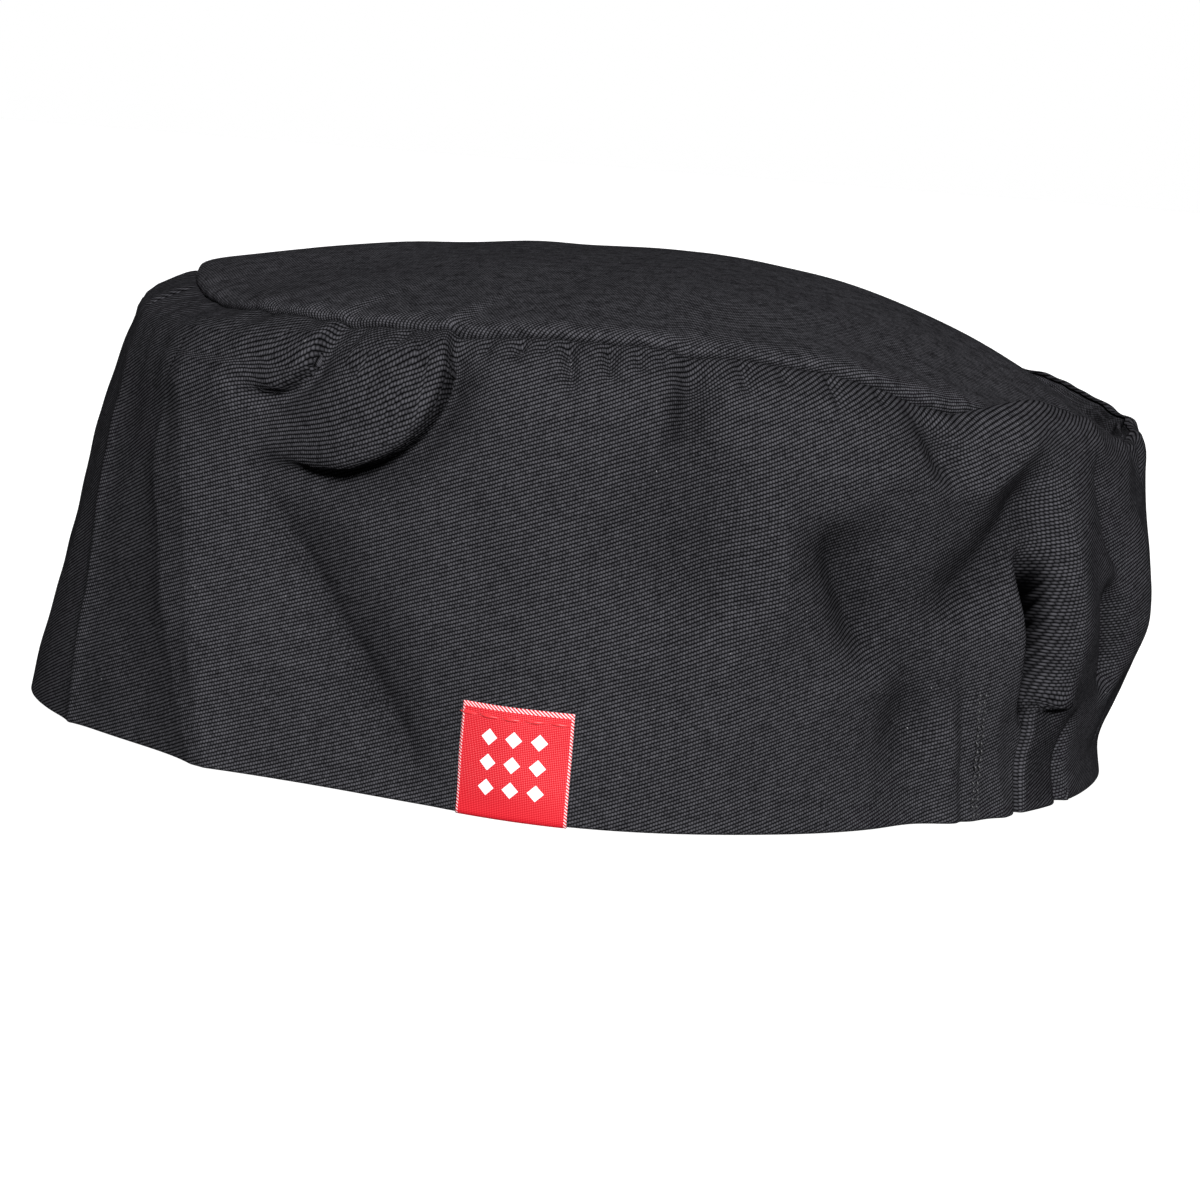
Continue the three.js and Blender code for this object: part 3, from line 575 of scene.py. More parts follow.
# %% Side band
BAND_COLUMNS, BAND_ROWS = 760, 62
HEM_RISES = np.array([0, 0.0012, 0.0032, 0.0062, 0.01])
EVEN_RISES = (0.018, 1 - 0.026)
TOP_DROPS = np.array([0.021, 0.016, 0.012, 0.008, 0.005, 0.002, 0])
NEAR_SHARE = 0.66
SEAM_ROLL_REACH = 0.0015
SEAM_ROLL_DEPTH, INNER_ROLL = 0.0018, 0.15
LABEL_TURN, LABEL_WIDTH = 0.226, 0.019
LABEL_CLOTH = 0.0006
NOTCH_FLANK = 0.004
SLIT_TURN = 0.3965
SLIT_LIFT, FAR_SLIT_LIFT = 0.0034, 0.00204
SLIT_FLANK, SLIT_LENGTH = 0.003, 0.016
# Painted light on the band's colour: painted shade in the folds' hollows, on the slit's floor, round the
# front and shoulders and in a line left of the flap, a darker patch over the flap, and a painted highlight on
# the flap's left and bottom edges.
PAINTED_SHADE_DEPTH = 0.008
FRONT_PAINTED_SHADE = 0.12
QUARTER_TURN, QUARTER_LEAN, QUARTER_BLUR = 0.1085, 0.018, 0.008
SHOULDER_LEAN, SHOULDER_RISE, SHOULDER_BLUR = 0.022, 0.8, 0.06
SLIT_SHADE = Fold("shade in the slit", (0.3935, 0.680), (0.3985, 0.430), (0.4020, 0.180), 0.006,
                  1.0, 0.009, 1.0, 0.014, 2.0)
FLAP_TURNS, FLAP_BLUR = (0.4050, 0.4275), 0.0008
FLAP_RISE, FLAP_TOP_BLUR, HEM_EDGE_RISE = 0.27, 0.02, 0.012
FLAP_SHADE, FLAP_SHADE_TURN, FLAP_SHADE_REACH = 0.9, 0.4020, 0.0009
FLAP_DARKER, FLAP_EDGE_HIGHLIGHT, FLAP_EDGE_REACH = 0.35, 0.3, 0.00035


def hem_lift(turn, rise):
    """The hem rises over the label, and behind the slit, where it is drawn up over the casing."""
    beside = np.abs(turn - LABEL_TURN) * GIRTH - LABEL_WIDTH / 2
    lift = (LABEL_CLOTH + GAP) * (1 - smooth(beside / NOTCH_FLANK))
    for behind, height in ((turn - SLIT_TURN, SLIT_LIFT), (1 - SLIT_TURN - turn, FAR_SLIT_LIFT)):
        behind = behind * GIRTH
        lift += height * smooth(behind / SLIT_FLANK) * np.exp(-np.maximum(behind, 0) / SLIT_LENGTH)
    return lift * (1 - rise) ** 8


def hem_round(rise, height):
    """Half of a circle across the cloth's thickness, at the very bottom."""
    up = np.clip(rise * height / (CLOTH / 2), 0, 1)
    return CLOTH / 2 * (1 - np.sqrt(1 - (1 - up) ** 2)) * 0.92


def seam_roll(rise, height):
    """A quarter of a circle by which the top edge rolls into the seam."""
    over = np.clip(1 - (1 - rise) * height / SEAM_ROLL_REACH, 0, 1)
    return SEAM_ROLL_DEPTH * (1 - np.sqrt(1 - over ** 2))


def bell(distance, reach):
    """1 at no distance, and next to nothing at twice the reach."""
    return np.exp(-(distance / reach) ** 2)


def painted_light_share(turn, rise, lift):
    """The painted light of a place, as a share of the cloth's colour: painted shade, the deeper the
    place lies in a fold the darker, painted shade that turns the slit's floor black, painted shade
    round the front and up over the shoulders, a painted shadow line left of the flap, a darker
    patch over the flap, and a painted highlight on the flap's edges."""
    # Painted shade in the hollows of the folds.
    share = np.exp(-(np.maximum(-lift, 0) / PAINTED_SHADE_DEPTH) ** 1.5)
    # Painted shade that turns the slit's floor black.
    slit, _ = fold_field(SLIT_SHADE, turn, rise)
    share *= 1 - smooth(1.4 * slit)
    # Painted shade round the front and up over the shoulders.
    from_front = np.abs((turn + 0.5) % 1.0 - 0.5)
    quarter = QUARTER_TURN + QUARTER_LEAN * (1 - rise) ** 2
    quarter += SHOULDER_LEAN * smooth((rise - SHOULDER_RISE) / SHOULDER_BLUR)
    share *= 1 - FRONT_PAINTED_SHADE * smooth((quarter - from_front) / QUARTER_BLUR + 0.5)
    left, right = (turn - FLAP_TURNS[0]) * GIRTH, (FLAP_TURNS[1] - turn) * GIRTH
    low = smooth((FLAP_RISE - rise) / FLAP_TOP_BLUR)
    # A painted shadow line just left of the flap.
    share *= 1 - FLAP_SHADE * bell((turn - FLAP_SHADE_TURN) * GIRTH, FLAP_SHADE_REACH) * low
    # A darker patch over the flap, and a painted highlight on its left and bottom edges.
    flap = smooth(left / FLAP_BLUR) * smooth(right / FLAP_BLUR) * low
    edge = bell(left, FLAP_EDGE_REACH) * low
    hem = bell(rise - HEM_EDGE_RISE, HEM_EDGE_RISE) * flap
    return share * (1 - FLAP_DARKER * flap) + FLAP_EDGE_HIGHLIGHT * np.maximum(edge, hem)


def band_columns():
    """Turns from the middle of the back round to it again, closer on the near side."""
    even = np.linspace(0, 1, BAND_COLUMNS + 1)
    return np.interp(even, [0, 1 - NEAR_SHARE, 1], [0.5, 1.0, 1.5])


def band_rows():
    """Rises from the hem to the seam, closer at both edges."""
    even = np.linspace(EVEN_RISES[0], EVEN_RISES[1], BAND_ROWS - len(HEM_RISES) - len(TOP_DROPS))
    return np.concatenate([HEM_RISES, even, 1 - TOP_DROPS])


def side_band():
    """Both faces of the band over the grid of turns and rises."""
    columns = band_columns()
    turn, rise = np.meshgrid(columns[:-1], band_rows())
    folds = band_lift(turn, rise)
    height = seam_height(turn)
    lifted = hem_lift(turn, rise)[..., None] * [0, 0, 1]
    round_edge, roll = hem_round(rise, height), seam_roll(rise, height)
    outer = band_point(turn, rise, round_edge + roll, folds) + lifted
    inner = band_point(turn, rise, CLOTH - round_edge + INNER_ROLL * roll, folds) + lifted
    full_turn, full_rise = np.meshgrid(columns, band_rows())
    uv = np.stack([full_turn * GIRTH, full_rise * seam_height(full_turn)], -1)
    # Painted shade in the folds, the slit, round the front and beside the flap, a darker patch over the flap,
    # and a painted highlight on the flap's edges, for each point of the outer face.
    painted_light_values = painted_light_share(turn % 1.0, rise, folds[0])
    return sheet_mesh("side_band_cloth", outer, inner, uv, around=True, painted_light_values=painted_light_values)


band = side_band()

# %% [markdown]
# ## The top panel
#
# The panel is an oval sewn to the band. Its edge turns down inside the band as the seam
# allowance. Just above the seam it stands up steeply in a small roll, and then it turns
# over into the shallow dome. The rings of the grid follow that line from the allowance,
# through the roll, to the middle of the crown, and the weave is measured outward from
# the crown along the cloth, so that it stays even over the roll.

# %% Top panel
PANEL_COLUMNS = 420
ALLOWANCE_ROWS, EDGE_RINGS, DOME_RINGS = 7, 16, 34
CROWN_CENTRE = np.array([0.01, 0.0]) + MIDDLE[:2]
CROWN_FULLNESS = (2.2, 2.35)
SEAM_PULL_FADE = 9
SEAM_ALLOWANCE = 0.007
ROLL_HEIGHT, ROLL_REACH = 0.0028, 0.0017
ROLL_BULGE = 0.0024
PANEL_UNEVEN = 0.0005
TINY = 1e-6
PANEL_WAVES = waves(24, 0.018, 0.07)


def dome_point(turn, reach, inset):
    """From the crown's centre to the seam: a curve whose power is CROWN_FULLNESS, a small roll
    beside the seam, or a trough where the band puffs up, and the pull of the band's folds,
    which dies out inwards."""
    one = np.ones_like(turn)
    plain = plain_band(turn, one) - outward(turn, one) * inset
    pull = (band_point(turn, one, inset + 0 * one) - plain) * (reach ** SEAM_PULL_FADE)[..., None]
    flat = CROWN_CENTRE + (plain[..., :2] - CROWN_CENTRE) * reach[..., None]
    from_edge = np.linalg.norm(plain[..., :2] - flat, axis=-1)
    roll_height = ROLL_HEIGHT - puff_height(turn)
    roll = roll_height * (1 - np.exp(-from_edge / ROLL_REACH))
    over = from_edge / ROLL_REACH * np.exp(1 - from_edge / ROLL_REACH)
    bulge = ROLL_BULGE * over * np.clip(roll_height / ROLL_HEIGHT, 0, 1)
    frontness = 0.5 + 0.5 * np.cos(np.radians(angle_of(turn)))
    fullness = CROWN_FULLNESS[1] + (CROWN_FULLNESS[0] - CROWN_FULLNESS[1]) * frontness
    rest = (CROWN_HEIGHT - plain[..., 2] - roll_height) * (1 - reach ** fullness)
    uneven = PANEL_UNEVEN * sum_of_waves(PANEL_WAVES, flat[..., 0], flat[..., 1]) * smooth((1 - reach) * 8)
    aside = flat - CROWN_CENTRE
    aside = aside / np.maximum(np.linalg.norm(aside, axis=-1, keepdims=True), TINY)
    flat = flat + aside * bulge[..., None]
    return np.concatenate([flat, (plain[..., 2] + roll + rest + uneven)[..., None]], -1) + pull


def top_panel():
    """The turned-down allowance, the roll and the dome, as rings of two faces."""
    columns = np.linspace(0.5, 1.5, PANEL_COLUMNS + 1)[:-1]
    down = np.linspace(1 - SEAM_ALLOWANCE / FRONT_HEIGHT, 0.992, ALLOWANCE_ROWS)
    near_edge = 1 - np.geomspace(0.0015, 0.1, EDGE_RINGS)
    reaches = np.concatenate([near_edge, np.linspace(0.88, 0.0, DOME_RINGS)])
    turn_down, rise_down = np.meshgrid(columns, down)
    turn_dome, reach_dome = np.meshgrid(columns, reaches)
    outside = CLOTH + GAP
    faces = []
    for inset, drop in ((outside, 0.0), (outside + CLOTH, CLOTH)):
        allowance = band_point(turn_down, rise_down, inset + 0 * turn_down)
        dome = dome_point(turn_dome, reach_dome, inset)
        dome[..., 2] -= drop * smooth((1 - reach_dome) * 12)
        faces.append(np.concatenate([allowance, dome]))
    outer, inner = faces
    steps = np.linalg.norm(np.diff(outer[::-1], axis=0), axis=-1)
    out = np.concatenate([np.zeros((1, PANEL_COLUMNS)), np.cumsum(steps, axis=0)])[::-1]
    heading = plain_band(columns, np.ones_like(columns))[:, :2] - CROWN_CENTRE
    heading /= np.linalg.norm(heading, axis=-1, keepdims=True)
    uv = out[..., None] * heading
    uv = np.concatenate([uv, uv[:, :1]], axis=1)
    return sheet_mesh("top_panel_cloth", outer, inner, uv, around=True, pole=True)


panel = top_panel()

# %% [markdown]
# ## The elastic casing
#
# Inside the back of the hem lies a narrow ribbed strip with the elastic in it. It is
# sewn in at both ends and pulls the band into gathers, and behind the slit its lower
# edge shows under the lifted hem.

# %% Elastic casing
CASING_CLOTH = 0.0016
CASING_CLEAR = CLOTH + 2 * GAP
CASING_COLUMNS, CASING_ROWS = 260, 24
RIPPLE = 0.0004
CASING_WAVES = waves(16, 0.003, 0.009)


def elastic_casing():
    """A strip that follows the band's inner face at a small clearance, with its own fine ripples."""
    columns = np.linspace(CASING_FROM, 1 - CASING_FROM, CASING_COLUMNS)
    casing_rise = CASING_HEIGHT / seam_height(np.array([CASING_FROM]))[0]
    rises = casing_rise * smooth(np.linspace(0, 1, CASING_ROWS))
    turn, rise = np.meshgrid(columns, rises)
    folds = band_lift(turn, rise)
    height = rise * seam_height(turn)
    edge = np.minimum(height, casing_rise * seam_height(turn) - height) / (CASING_CLOTH / 2)
    rounding = CASING_CLOTH / 2 * (1 - np.sqrt(1 - (1 - np.clip(edge, 0, 1)) ** 2)) * 0.9
    ripple = RIPPLE * np.abs(sum_of_waves(CASING_WAVES, turn * GIRTH, 0.2 * height))
    outer = band_point(turn, rise, CASING_CLEAR + ripple + rounding, folds)
    inner = band_point(turn, rise, CASING_CLEAR + ripple + CASING_CLOTH - rounding, folds)
    uv = np.stack([turn * GIRTH, height], -1)
    return sheet_mesh("elastic_casing_cloth", outer, inner, uv)


casing = elastic_casing()

# %% [markdown]
# ## The label
#
# A short satin ribbon folded round the hem. One strip runs down the outside, under the
# hem and a little way up the inside. Its face bulges slightly.

# %% Label
LABEL_HEIGHT, LABEL_RETURN = 0.019, 0.007
LABEL_COLUMNS = 48
OUTSIDE_ROWS, BEND_ROWS, INSIDE_ROWS = 48, 14, 20
LABEL_BULGE = 0.0004


def label_strip():
    """Stations down the outside, round under the hem and up the inside, each a rise, an inset
    from the band's face and a height; the faces are half a thickness to each side."""
    outside = np.linspace(1, 0.04, OUTSIDE_ROWS)
    inside = np.linspace(0.08, 1, INSIDE_ROWS)
    bend = np.linspace(0, np.pi, BEND_ROWS)[1:-1]
    radius = CLOTH / 2 + GAP + LABEL_CLOTH / 2
    stations = []
    for share in outside:
        stations.append((share * LABEL_HEIGHT, -GAP - LABEL_CLOTH / 2, 0.0))
    for angle in bend:
        stations.append((0.0, CLOTH / 2 - radius * math.cos(angle), angle))
    for share in inside:
        stations.append((share * LABEL_RETURN, CLOTH + GAP + LABEL_CLOTH / 2, np.pi))
    return np.array(stations)


def label():
    """The strip's two faces, built across the label's width."""
    across = np.linspace(-0.5, 0.5, LABEL_COLUMNS)
    stations = label_strip()
    columns = LABEL_TURN + across * LABEL_WIDTH / GIRTH
    turn = np.broadcast_to(columns, (len(stations), LABEL_COLUMNS))
    height = np.broadcast_to(stations[:, :1], turn.shape)
    inset = np.broadcast_to(stations[:, 1:2], turn.shape)
    bend = np.broadcast_to(stations[:, 2:3], turn.shape)
    rise = np.maximum(height, 0.0) / seam_height(turn)
    folds = band_lift(turn, rise)
    radius = LABEL_CLOTH + GAP
    bulge = LABEL_BULGE * (1 - (2 * across) ** 2) * smooth(height / LABEL_HEIGHT * 3) * (bend == 0)
    faces = []
    for side in (1, -1):
        half = side * LABEL_CLOTH / 2
        place = band_point(turn, rise, inset + half * -np.cos(bend) - bulge, folds)
        lowest = radius - (CLOTH / 2 + GAP + LABEL_CLOTH / 2 + half) * 0.9 * np.sin(bend)
        low = np.maximum(lowest, LABEL_CLOTH / 2 - half)
        bending = (bend > 0) & (bend < np.pi)
        place[..., 2] = np.where(bending, low, np.maximum(place[..., 2], low))
        faces.append(place)
    steps = np.linalg.norm(np.diff(faces[0][:, LABEL_COLUMNS // 2], axis=0), axis=1)
    walked = np.concatenate([[0], np.cumsum(steps)])
    uv = np.stack(np.broadcast_arrays((across + 0.5) * LABEL_WIDTH, -walked[:, None]), -1)
    return sheet_mesh("label_cloth", faces[1], faces[0], uv)


tag = label()

# %% [markdown]
# ## Materials
#
# Twill is a weave of slanting ribs. Each rib is a row of short floats, so up close it is
# a chain of small grains with dark gaps between the ribs. The pattern is worked out from
# the cloth's own UV map in metres, so the ribs have their real pitch everywhere and
# follow each fold. The same height drives the colour and the bump. The band also carries a
# painted light value for each point: painted shade that darkens its folds, its slit, its front
# and a line beside the flap, a darker patch over the flap, and a painted highlight on the
# flap's edges. Black cloth also picks up pale specks of lint.

# %% Small helpers for shader nodes


class Wire:
    """A value on its way through the nodes. Arithmetic on it adds Math nodes, so that the
    patterns below can be written as plain formulas."""

    def __init__(self, tree, socket):
        self.tree, self.socket = tree, socket

    def apply(self, operation, other=0.0):
        node = self.tree.nodes.new("ShaderNodeMath")
        node.operation = operation
        connect(self.tree, self, node.inputs[0])
        connect(self.tree, other, node.inputs[1])
        return Wire(self.tree, node.outputs[0])

    def __add__(self, other):
        return self.apply("ADD", other)

    def __sub__(self, other):
        return self.apply("SUBTRACT", other)

    def __mul__(self, other):
        return self.apply("MULTIPLY", other)

    def __truediv__(self, other):
        return self.apply("DIVIDE", other)


def connect(tree, value, socket):
    """Links a wire to the socket, or sets the socket to a number or a colour."""
    if isinstance(value, Wire):
        tree.links.new(value.socket, socket)
    else:
        socket.default_value = (*value, 1.0) if isinstance(value, tuple) else value


def half_waves(value):
    """A half sine over each whole step of the value: 0 at its ends, 1 in its middle."""
    return (value.apply("FRACT") * math.pi).apply("SINE")


def stripes(value, period):
    """A sine that repeats once in each period."""
    return (value * (2 * math.pi / period)).apply("SINE")


def noise(place, scale, detail=2.0, roughness=0.5):
    """Blender's noise, a value around 0.5."""
    node = place.tree.nodes.new("ShaderNodeTexNoise")
    for name, value in (("Vector", place), ("Scale", scale), ("Detail", detail), ("Roughness", roughness)):
        connect(place.tree, value, node.inputs[name])
    return Wire(place.tree, node.outputs["Fac"])


def mix_colour(amount, first, second):
    """A blend of two colours, each a tuple or a wire."""
    node = amount.tree.nodes.new("ShaderNodeMix")
    node.data_type = "RGBA"
    for index, value in ((0, amount), (6, first), (7, second)):
        connect(amount.tree, value, node.inputs[index])
    return Wire(amount.tree, node.outputs[2])


def bump(height, distance):
    """A bump whose height of 1 stands distance metres proud."""
    node = height.tree.nodes.new("ShaderNodeBump")
    node.inputs["Distance"].default_value = distance
    connect(height.tree, height, node.inputs["Height"])
    return Wire(height.tree, node.outputs[0])


def new_material(name, **inputs):
    """An empty material and its tree, with constant inputs set on the Principled shader."""
    material = bpy.data.materials.new(name)
    material.use_nodes = True
    shader = material.node_tree.nodes["Principled BSDF"]
    for socket, value in inputs.items():
        connect(material.node_tree, value, shader.inputs[socket.replace("_", " ")])
    return material, material.node_tree


def finish_surface(tree, colour, normal):
    """Links the colour and the bump to the shader."""
    shader = tree.nodes["Principled BSDF"]
    connect(tree, colour, shader.inputs["Base Color"])
    connect(tree, normal, shader.inputs["Normal"])


def cloth_place(tree):
    """The place on the cloth in metres: the UV map, and its two parts."""
    uv = tree.nodes.new("ShaderNodeUVMap")
    uv.uv_map = "cloth"
    parts = tree.nodes.new("ShaderNodeSeparateXYZ")
    tree.links.new(uv.outputs[0], parts.inputs[0])
    return Wire(tree, uv.outputs[0]), Wire(tree, parts.outputs[0]), Wire(tree, parts.outputs[1])


# %% Twill
RIB_PITCH = 0.00061
RIB_WOBBLE = 0.5
RIB_SHARPNESS = 1.5
FLOAT_LENGTH = 0.00049
FLOAT_STEP = -0.48
FLOAT_DEPTH = 0.85
TWILL_BUMP = 0.00006
WOBBLES, BLOTCHES, THREADS, FUZZ = 120.0, 45.0, 1500.0, 420.0
LINT_CELLS, LINT_SIZE, LINT_SHARE = 420.0, 0.035, 0.4
RIB_BLACK, GAP_BLACK = (0.060, 0.0592, 0.0663), (0.0004, 0.0004, 0.0005)
# The top panel's black is painted lighter than the band's: painted light on the top, which the low main light
# only grazes.
PANEL_PAINTED_LIGHTER_BLACK = (0.068, 0.067, 0.075)
LINT_GREY = (0.30, 0.30, 0.31)


def lint_specks(place):
    """Small round specks in a few of the cells of a scattered pattern, some brighter than others."""
    tree = place.tree
    cells = tree.nodes.new("ShaderNodeTexVoronoi")
    connect(tree, LINT_CELLS, cells.inputs["Scale"])
    connect(tree, place, cells.inputs["Vector"])
    chance = tree.nodes.new("ShaderNodeSeparateColor")
    tree.links.new(cells.outputs["Color"], chance.inputs[0])
    near = Wire(tree, cells.outputs["Distance"]).apply("LESS_THAN", LINT_SIZE)
    few = Wire(tree, chance.outputs[0]).apply("GREATER_THAN", 1 - LINT_SHARE)
    bright = Wire(tree, chance.outputs[1])
    return near * few * (bright * bright)


def twill(name, slope, rib_colour, fuzziness=1.0):
    """Ribs at a slope over the cloth: a rounded ridge across each rib, broken into floats along
    it. Three sizes of noise make the colour uneven, and the band's painted light value darkens
    it with painted shade and lightens it with a painted highlight."""
    material, tree = new_material(name, Roughness=0.9, Specular_IOR_Level=0.0)
    place, u, v = cloth_place(tree)
    c, s = math.cos(math.radians(slope)), math.sin(math.radians(slope))
    ribs = (v * c - u * s) / RIB_PITCH + noise(place, WOBBLES) * RIB_WOBBLE
    floats = (u * c + v * s) / FLOAT_LENGTH + ribs.apply("FLOOR") * FLOAT_STEP
    ridge = half_waves(ribs).apply("POWER", RIB_SHARPNESS)
    height = ridge * (half_waves(floats) * FLOAT_DEPTH + (1 - FLOAT_DEPTH))
    blotches = noise(place, BLOTCHES, 4.0, 0.6) * 0.5 + 0.75
    threads = noise(place, THREADS, 2.0, 0.7) * 2.4 - 0.2
    fuzz = noise(place, FUZZ, 2.0, 0.6) * fuzziness + (1 - fuzziness / 2)
    # The painted shade and highlight of each point, from the mesh's attribute.
    painted_light = tree.nodes.new("ShaderNodeAttribute")
    painted_light.attribute_name = "painted_light"
    light = height * (blotches * threads * fuzz) * Wire(tree, painted_light.outputs["Fac"])
    colour = mix_colour(light, GAP_BLACK, rib_colour)
    finish_surface(tree, mix_colour(lint_specks(place), colour, LINT_GREY), bump(height, TWILL_BUMP))
    return material


band_twill = twill("black twill", 21, RIB_BLACK)
# The same twill as the band, painted lighter on the top.
panel_twill = twill("black twill on top", 38, PANEL_PAINTED_LIGHTER_BLACK, fuzziness=2.0)
casing_twill = twill("black elastic strip", 68, RIB_BLACK)
print("twill with", len(band_twill.node_tree.nodes), "nodes")

# %% [markdown]
# ## The label's satin
#
# Red satin shows fine slanting grains, because each long float catches the light. Here the
# grains are a pattern of deep and bright red in the colour, partly the weave and partly painted
# highlight, and the brightest grains in the upper part of the label carry a painted pink glint.
# White threads peep out along its woven edges. In its middle is a plain woven lattice of white
# diamonds, worked out from the UV map.

# %% Red satin
SATIN_GRAINS = (0.00058, 0.00060)
LATTICE, DIAMOND = 0.0042, 0.0014
LATTICE_HALF = 1.5 * LATTICE
SELVEDGE, TOP_EDGE, FLECK_PERIOD = 0.00045, 0.0008, 0.00055
PAINTED_GLINT_FROM, PAINTED_GLINT_SHARE, FLECK_SHARE = 0.86, 0.26, 0.8
SATIN_BUMP = 0.00006
DEEP_RED, BRIGHT_RED = (0.36, 0.003, 0.008), (0.62, 0.014, 0.026)
PAINTED_GLINT_PINK, FLECK_WHITE, WOVEN_WHITE = (0.90, 0.55, 0.55), (0.85, 0.66, 0.68), (0.92, 0.90, 0.90)


def from_nearest(value, middle, period):
    """Distance from the nearest of a row of points that are a period apart."""
    steps = (value - middle) / period
    return (steps - steps.apply("ROUND")).apply("ABSOLUTE") * period


def satin():
    """Grains, edge flecks and the lattice of diamonds in red and white, with a painted glint on
    the brightest grains of the upper part.
    """
    material, tree = new_material("red satin", Roughness=0.55, Specular_IOR_Level=0.15)
    _, u, v = cloth_place(tree)
    middle_u, middle_v = LABEL_WIDTH / 2, -LABEL_HEIGHT / 2
    grain = stripes(u + v, SATIN_GRAINS[0]) * stripes(u - v, SATIN_GRAINS[1]) * 0.5 + 0.5
    corner = from_nearest(u, middle_u, LATTICE) + from_nearest(v, middle_v, LATTICE)
    far_u = (u - middle_u).apply("ABSOLUTE")
    far_v = (v - middle_v).apply("ABSOLUTE")
    within = far_u.apply("LESS_THAN", LATTICE_HALF) * far_v.apply("LESS_THAN", LATTICE_HALF)
    motif = corner.apply("LESS_THAN", DIAMOND) * within
    selvedge = far_u.apply("GREATER_THAN", LABEL_WIDTH / 2 - SELVEDGE)
    edge = selvedge.apply("MAXIMUM", v.apply("GREATER_THAN", -TOP_EDGE))
    flecks = edge * stripes(v + u * 0.8, FLECK_PERIOD).apply("GREATER_THAN", 0.2)
    # A painted glint: the brightest grains in the upper part of the label turn pink.
    upper = (v * (2.5 / LABEL_HEIGHT) + 2.6).apply("MAXIMUM", 0.0).apply("MINIMUM", 1.0)
    painted_glint = grain.apply("GREATER_THAN", PAINTED_GLINT_FROM) * upper
    red = mix_colour(painted_glint * PAINTED_GLINT_SHARE, mix_colour(grain, DEEP_RED, BRIGHT_RED), PAINTED_GLINT_PINK)
    colour = mix_colour(flecks * FLECK_SHARE, red, FLECK_WHITE)
    colour = mix_colour(motif * (grain * 0.25 + 0.72), colour, WOVEN_WHITE)
    finish_surface(tree, colour, bump(grain + motif, SATIN_BUMP))
    return material


label_satin = satin()
print("satin with", len(label_satin.node_tree.nodes), "nodes")

# %% Thread
PLY_SCALE, PLY_BUMP = 3500.0, 0.00005


def thread_material(name, colour, pale):
    """A twisted thread: uneven along its length, with the pale colour as a painted highlight where a ply
    catches the light.
    """
    material, tree = new_material(name, Roughness=0.45, Sheen_Weight=0.1)
    twist = noise(Wire(tree, tree.nodes.new("ShaderNodeTexCoord").outputs["Object"]), PLY_SCALE, 1.0)
    finish_surface(tree, mix_colour(twist, colour, pale), bump(twist, PLY_BUMP))
    return material


# Each thread's second colour is its painted highlight.
black_thread = thread_material("black thread", (0.004, 0.004, 0.005), (0.022, 0.022, 0.025))
red_thread = thread_material("red thread", (0.50, 0.006, 0.012), (0.80, 0.04, 0.05))
print("threads:", black_thread.name, "and", red_thread.name)

# %% [markdown]
# ## Stitches
#
# A stitch is a short piece of thread that dips into the cloth at both ends. Each one is
# the same small spindle, laid along its own piece of the sewn line and raised a little in
# the middle. All the stitches of a seam are worked out together and joined in one mesh.

# %% Stitches
STITCH_SIDES, STITCH_RINGS = 8, 7


def stitch_mesh(name, starts, ends, normals, thickness):
    """Spindles from starts to ends: a ring at each station, its radius a half sine, its middle
    raised along the normal by the same half sine."""
    share = np.linspace(0, 1, STITCH_RINGS)
    swell = np.sin(np.pi * (0.06 + 0.88 * share))
    axis = ends - starts
    axis /= np.linalg.norm(axis, axis=-1, keepdims=True)
    side = np.cross(axis, normals)
    side /= np.linalg.norm(side, axis=-1, keepdims=True)
    up = np.cross(side, axis)
    centre = starts[:, None] + (ends - starts)[:, None] * share[None, :, None]
    centre = centre + up[:, None] * (thickness * (0.9 * swell - 0.35))[None, :, None]
    angle = np.linspace(0, 2 * np.pi, STITCH_SIDES, endpoint=False)
    spoke = side[:, None] * np.cos(angle)[None, :, None] + up[:, None] * np.sin(angle)[None, :, None]
    points = centre[:, :, None] + spoke[:, None] * (thickness / 2 * swell)[None, :, None, None]
    count = len(starts)
    per = STITCH_RINGS * STITCH_SIDES
    r, s = np.meshgrid(np.arange(STITCH_RINGS - 1), np.arange(STITCH_SIDES), indexing="ij")
    following = (s + 1) % STITCH_SIDES
    quads = np.stack([r * STITCH_SIDES + s, r * STITCH_SIDES + following,
                      (r + 1) * STITCH_SIDES + following, (r + 1) * STITCH_SIDES + s], -1).reshape(-1, 4)
    cap = np.array([(0, 3, 2, 1), (0, 5, 4, 3), (0, 7, 6, 5)])
    last = (STITCH_RINGS - 1) * STITCH_SIDES
    quads = np.concatenate([quads, cap, cap[:, ::-1] + last])
    offsets = np.arange(count)[:, None, None] * per
    return mesh_object(name, points.reshape(-1, 3), (quads[None] + offsets).reshape(-1, 4))


def on_band(turn, rise, out=0.0):
    """Points and outward directions on the band's face."""
    turn, rise = np.asarray(turn, float), np.asarray(rise, float)
    return band_point(turn, rise, -out + 0 * turn), outward(turn, rise)


TACK_HEIGHT = 0.0236
TACK_STITCHES = 16
TACK_THREAD = 0.0004
TACK_ROW_GAP, TACK_WAVER = 0.0011, 0.0003


def tack_rows(name, turn_top, turn_bottom):
    """Two close rows of stitches that hold one end of the elastic, zigzagging a little."""
    starts, ends, normals = [], [], []
    share = np.linspace(0.02, 0.98, TACK_STITCHES + 1)
    for row in (-0.5, 0.5):
        turn = turn_top + (turn_bottom - turn_top) * (1 - share) + row * TACK_ROW_GAP / GIRTH
        turn = turn + TACK_WAVER / GIRTH * np.sin(np.arange(len(share)) * 2.4 + row)
        rise = share * TACK_HEIGHT / seam_height(turn)
        points, outs = on_band(turn, rise)
        gap = 0.12 * (points[1:] - points[:-1])
        starts.append(points[:-1] + gap)
        ends.append(points[1:] - gap)
        normals.append((outs[1:] + outs[:-1]) / 2)
    starts, ends, normals = (np.concatenate(part) for part in (starts, ends, normals))
    return stitch_mesh(name, starts, ends, normals, TACK_THREAD)


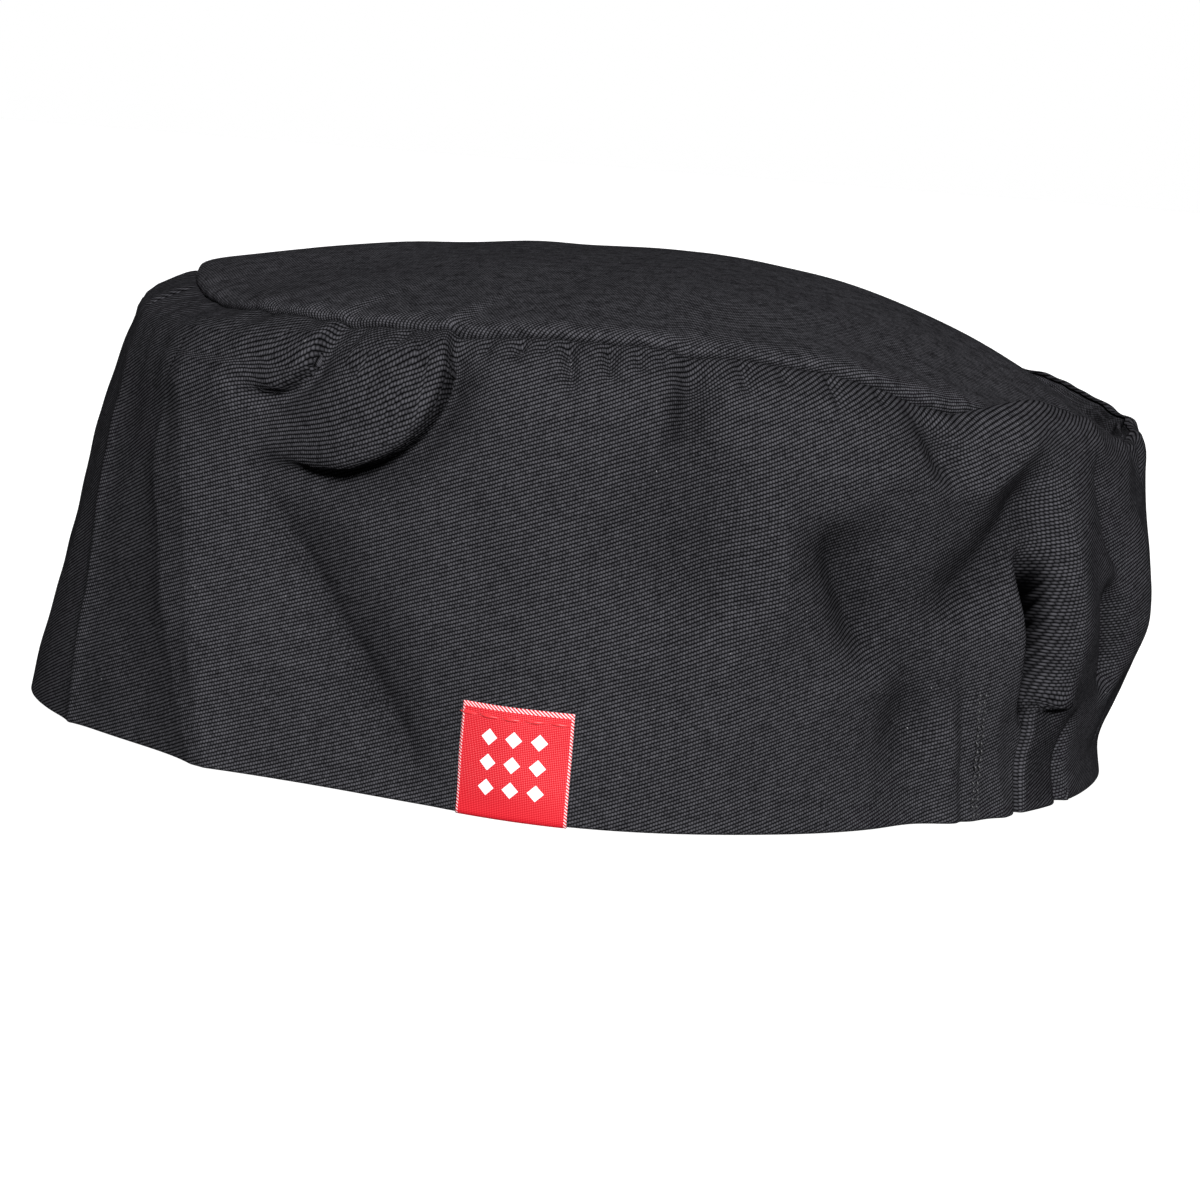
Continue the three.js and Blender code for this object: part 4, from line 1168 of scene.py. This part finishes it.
near_tack = tack_rows("near_tack_stitches", 0.3755, 0.380)
far_tack = tack_rows("far_tack_stitches", 0.6245, 0.620)

LABEL_STITCHES = 5
LABEL_THREAD = 0.0006
LABEL_STITCH_DROP, LABEL_STITCH_WAVER = 0.0019, 0.0001


def label_stitches():
    """One row across the label just under its top edge, that starts a little outside it."""
    share = np.linspace(-0.55, 0.49, LABEL_STITCHES + 1)
    turn = LABEL_TURN + share * LABEL_WIDTH / GIRTH
    waver = LABEL_STITCH_WAVER * np.sin(np.arange(len(share)) * 2.0)
    rise = (LABEL_HEIGHT - LABEL_STITCH_DROP + waver) / seam_height(turn)
    on_label = np.where(np.abs(share) < 0.5, GAP + LABEL_CLOTH + LABEL_BULGE * (1 - (2 * share) ** 2), 0.0002)
    points, outs = on_band(turn, rise, on_label)
    gap = 0.02 * (points[1:] - points[:-1])
    normals = (outs[1:] + outs[:-1]) / 2
    return stitch_mesh("label_stitches", points[:-1] + gap, points[1:] - gap, normals, LABEL_THREAD)


label_row = label_stitches()

# %% [markdown]
# ## What each piece rides on and replaces
#
# The cap has no hard joint, so every piece rides on the one body. Each cloth piece stands
# for its plain solid, which is hidden.

# %% Materials and parents
for piece, material, slot, node in (
        (band, band_twill, "black_twill", "side_band"),
        (panel, panel_twill, "black_twill_top", "top_panel"),
        (casing, casing_twill, "black_elastic", "elastic_casing"),
        (tag, label_satin, "red_satin", "label")):
    piece.data.materials.append(material)
    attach(piece, "root")
    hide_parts(node)

for piece, material, slot in (
        (near_tack, black_thread, "black_twill"),
        (far_tack, black_thread, "black_twill"),
        (label_row, red_thread, "red_satin")):
    piece.data.materials.append(material)
    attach(piece, "root")

# %% [markdown]
# ## Floor and light
#
# Black cloth on white shows its form by how far each fold turns away from one main light.
# A soft main light stands close to the camera and a little above it, so that the underside of
# every fold falls dark. A second, weaker and softer, lights the far side, so that the cap can
# be looked at from all round. The floor and what the camera sees behind it are white, but
# they light the cloth very little.

# %% Floor
FLOOR_SIZE = 8.0
bpy.ops.mesh.primitive_plane_add(size=FLOOR_SIZE)
floor = bpy.context.object
floor.name = "floor"
floor_material = bpy.data.materials.new("pale floor")
floor_material.use_nodes = True
floor_shader = floor_material.node_tree.nodes["Principled BSDF"]
floor_shader.inputs["Base Color"].default_value = (0.86, 0.86, 0.86, 1)
floor_shader.inputs["Roughness"].default_value = 0.9
floor_shader.inputs["Specular IOR Level"].default_value = 0.1
floor_shader.inputs["Emission Color"].default_value = (1, 1, 1, 1)
floor_shader.inputs["Emission Strength"].default_value = 0.45
floor.data.materials.append(floor_material)
floor.visible_diffuse = False
floor.visible_glossy = False

# %% Lights


def sun(name, azimuth, elevation, strength, softness):
    """A light from far away, azimuth degrees round from the camera's side towards +X, with a
    disc that is softness degrees wide."""
    light = bpy.data.objects.new(name, bpy.data.lights.new(name, "SUN"))
    light.data.energy = strength
    light.data.angle = math.radians(softness)
    a, e = math.radians(azimuth), math.radians(elevation)
    towards = Vector((math.sin(a) * math.cos(e), -math.cos(a) * math.cos(e), math.sin(e)))
    light.rotation_euler = towards.to_track_quat("Z", "Y").to_euler()
    bpy.context.collection.objects.link(light)


sun("key light", 3, 20, 6.7, 10)
sun("back light", 180, 7, 2.0, 30)

world = bpy.data.worlds.new("studio")
world.use_nodes = True
bpy.context.scene.world = world
nodes, links = world.node_tree.nodes, world.node_tree.links
ambient = nodes["Background"]
ambient.inputs["Color"].default_value = (1, 1, 1, 1)
ambient.inputs["Strength"].default_value = 0.06
seen = nodes.new("ShaderNodeBackground")
seen.inputs["Color"].default_value = (1, 1, 1, 1)
seen.inputs["Strength"].default_value = 1.0
ray = nodes.new("ShaderNodeLightPath")
either = nodes.new("ShaderNodeMixShader")
links.new(ray.outputs["Is Camera Ray"], either.inputs[0])
links.new(ambient.outputs[0], either.inputs[1])
links.new(seen.outputs[0], either.inputs[2])
links.new(either.outputs[0], nodes["World Output"].inputs["Surface"])
bpy.context.scene.view_settings.view_transform = "Standard"
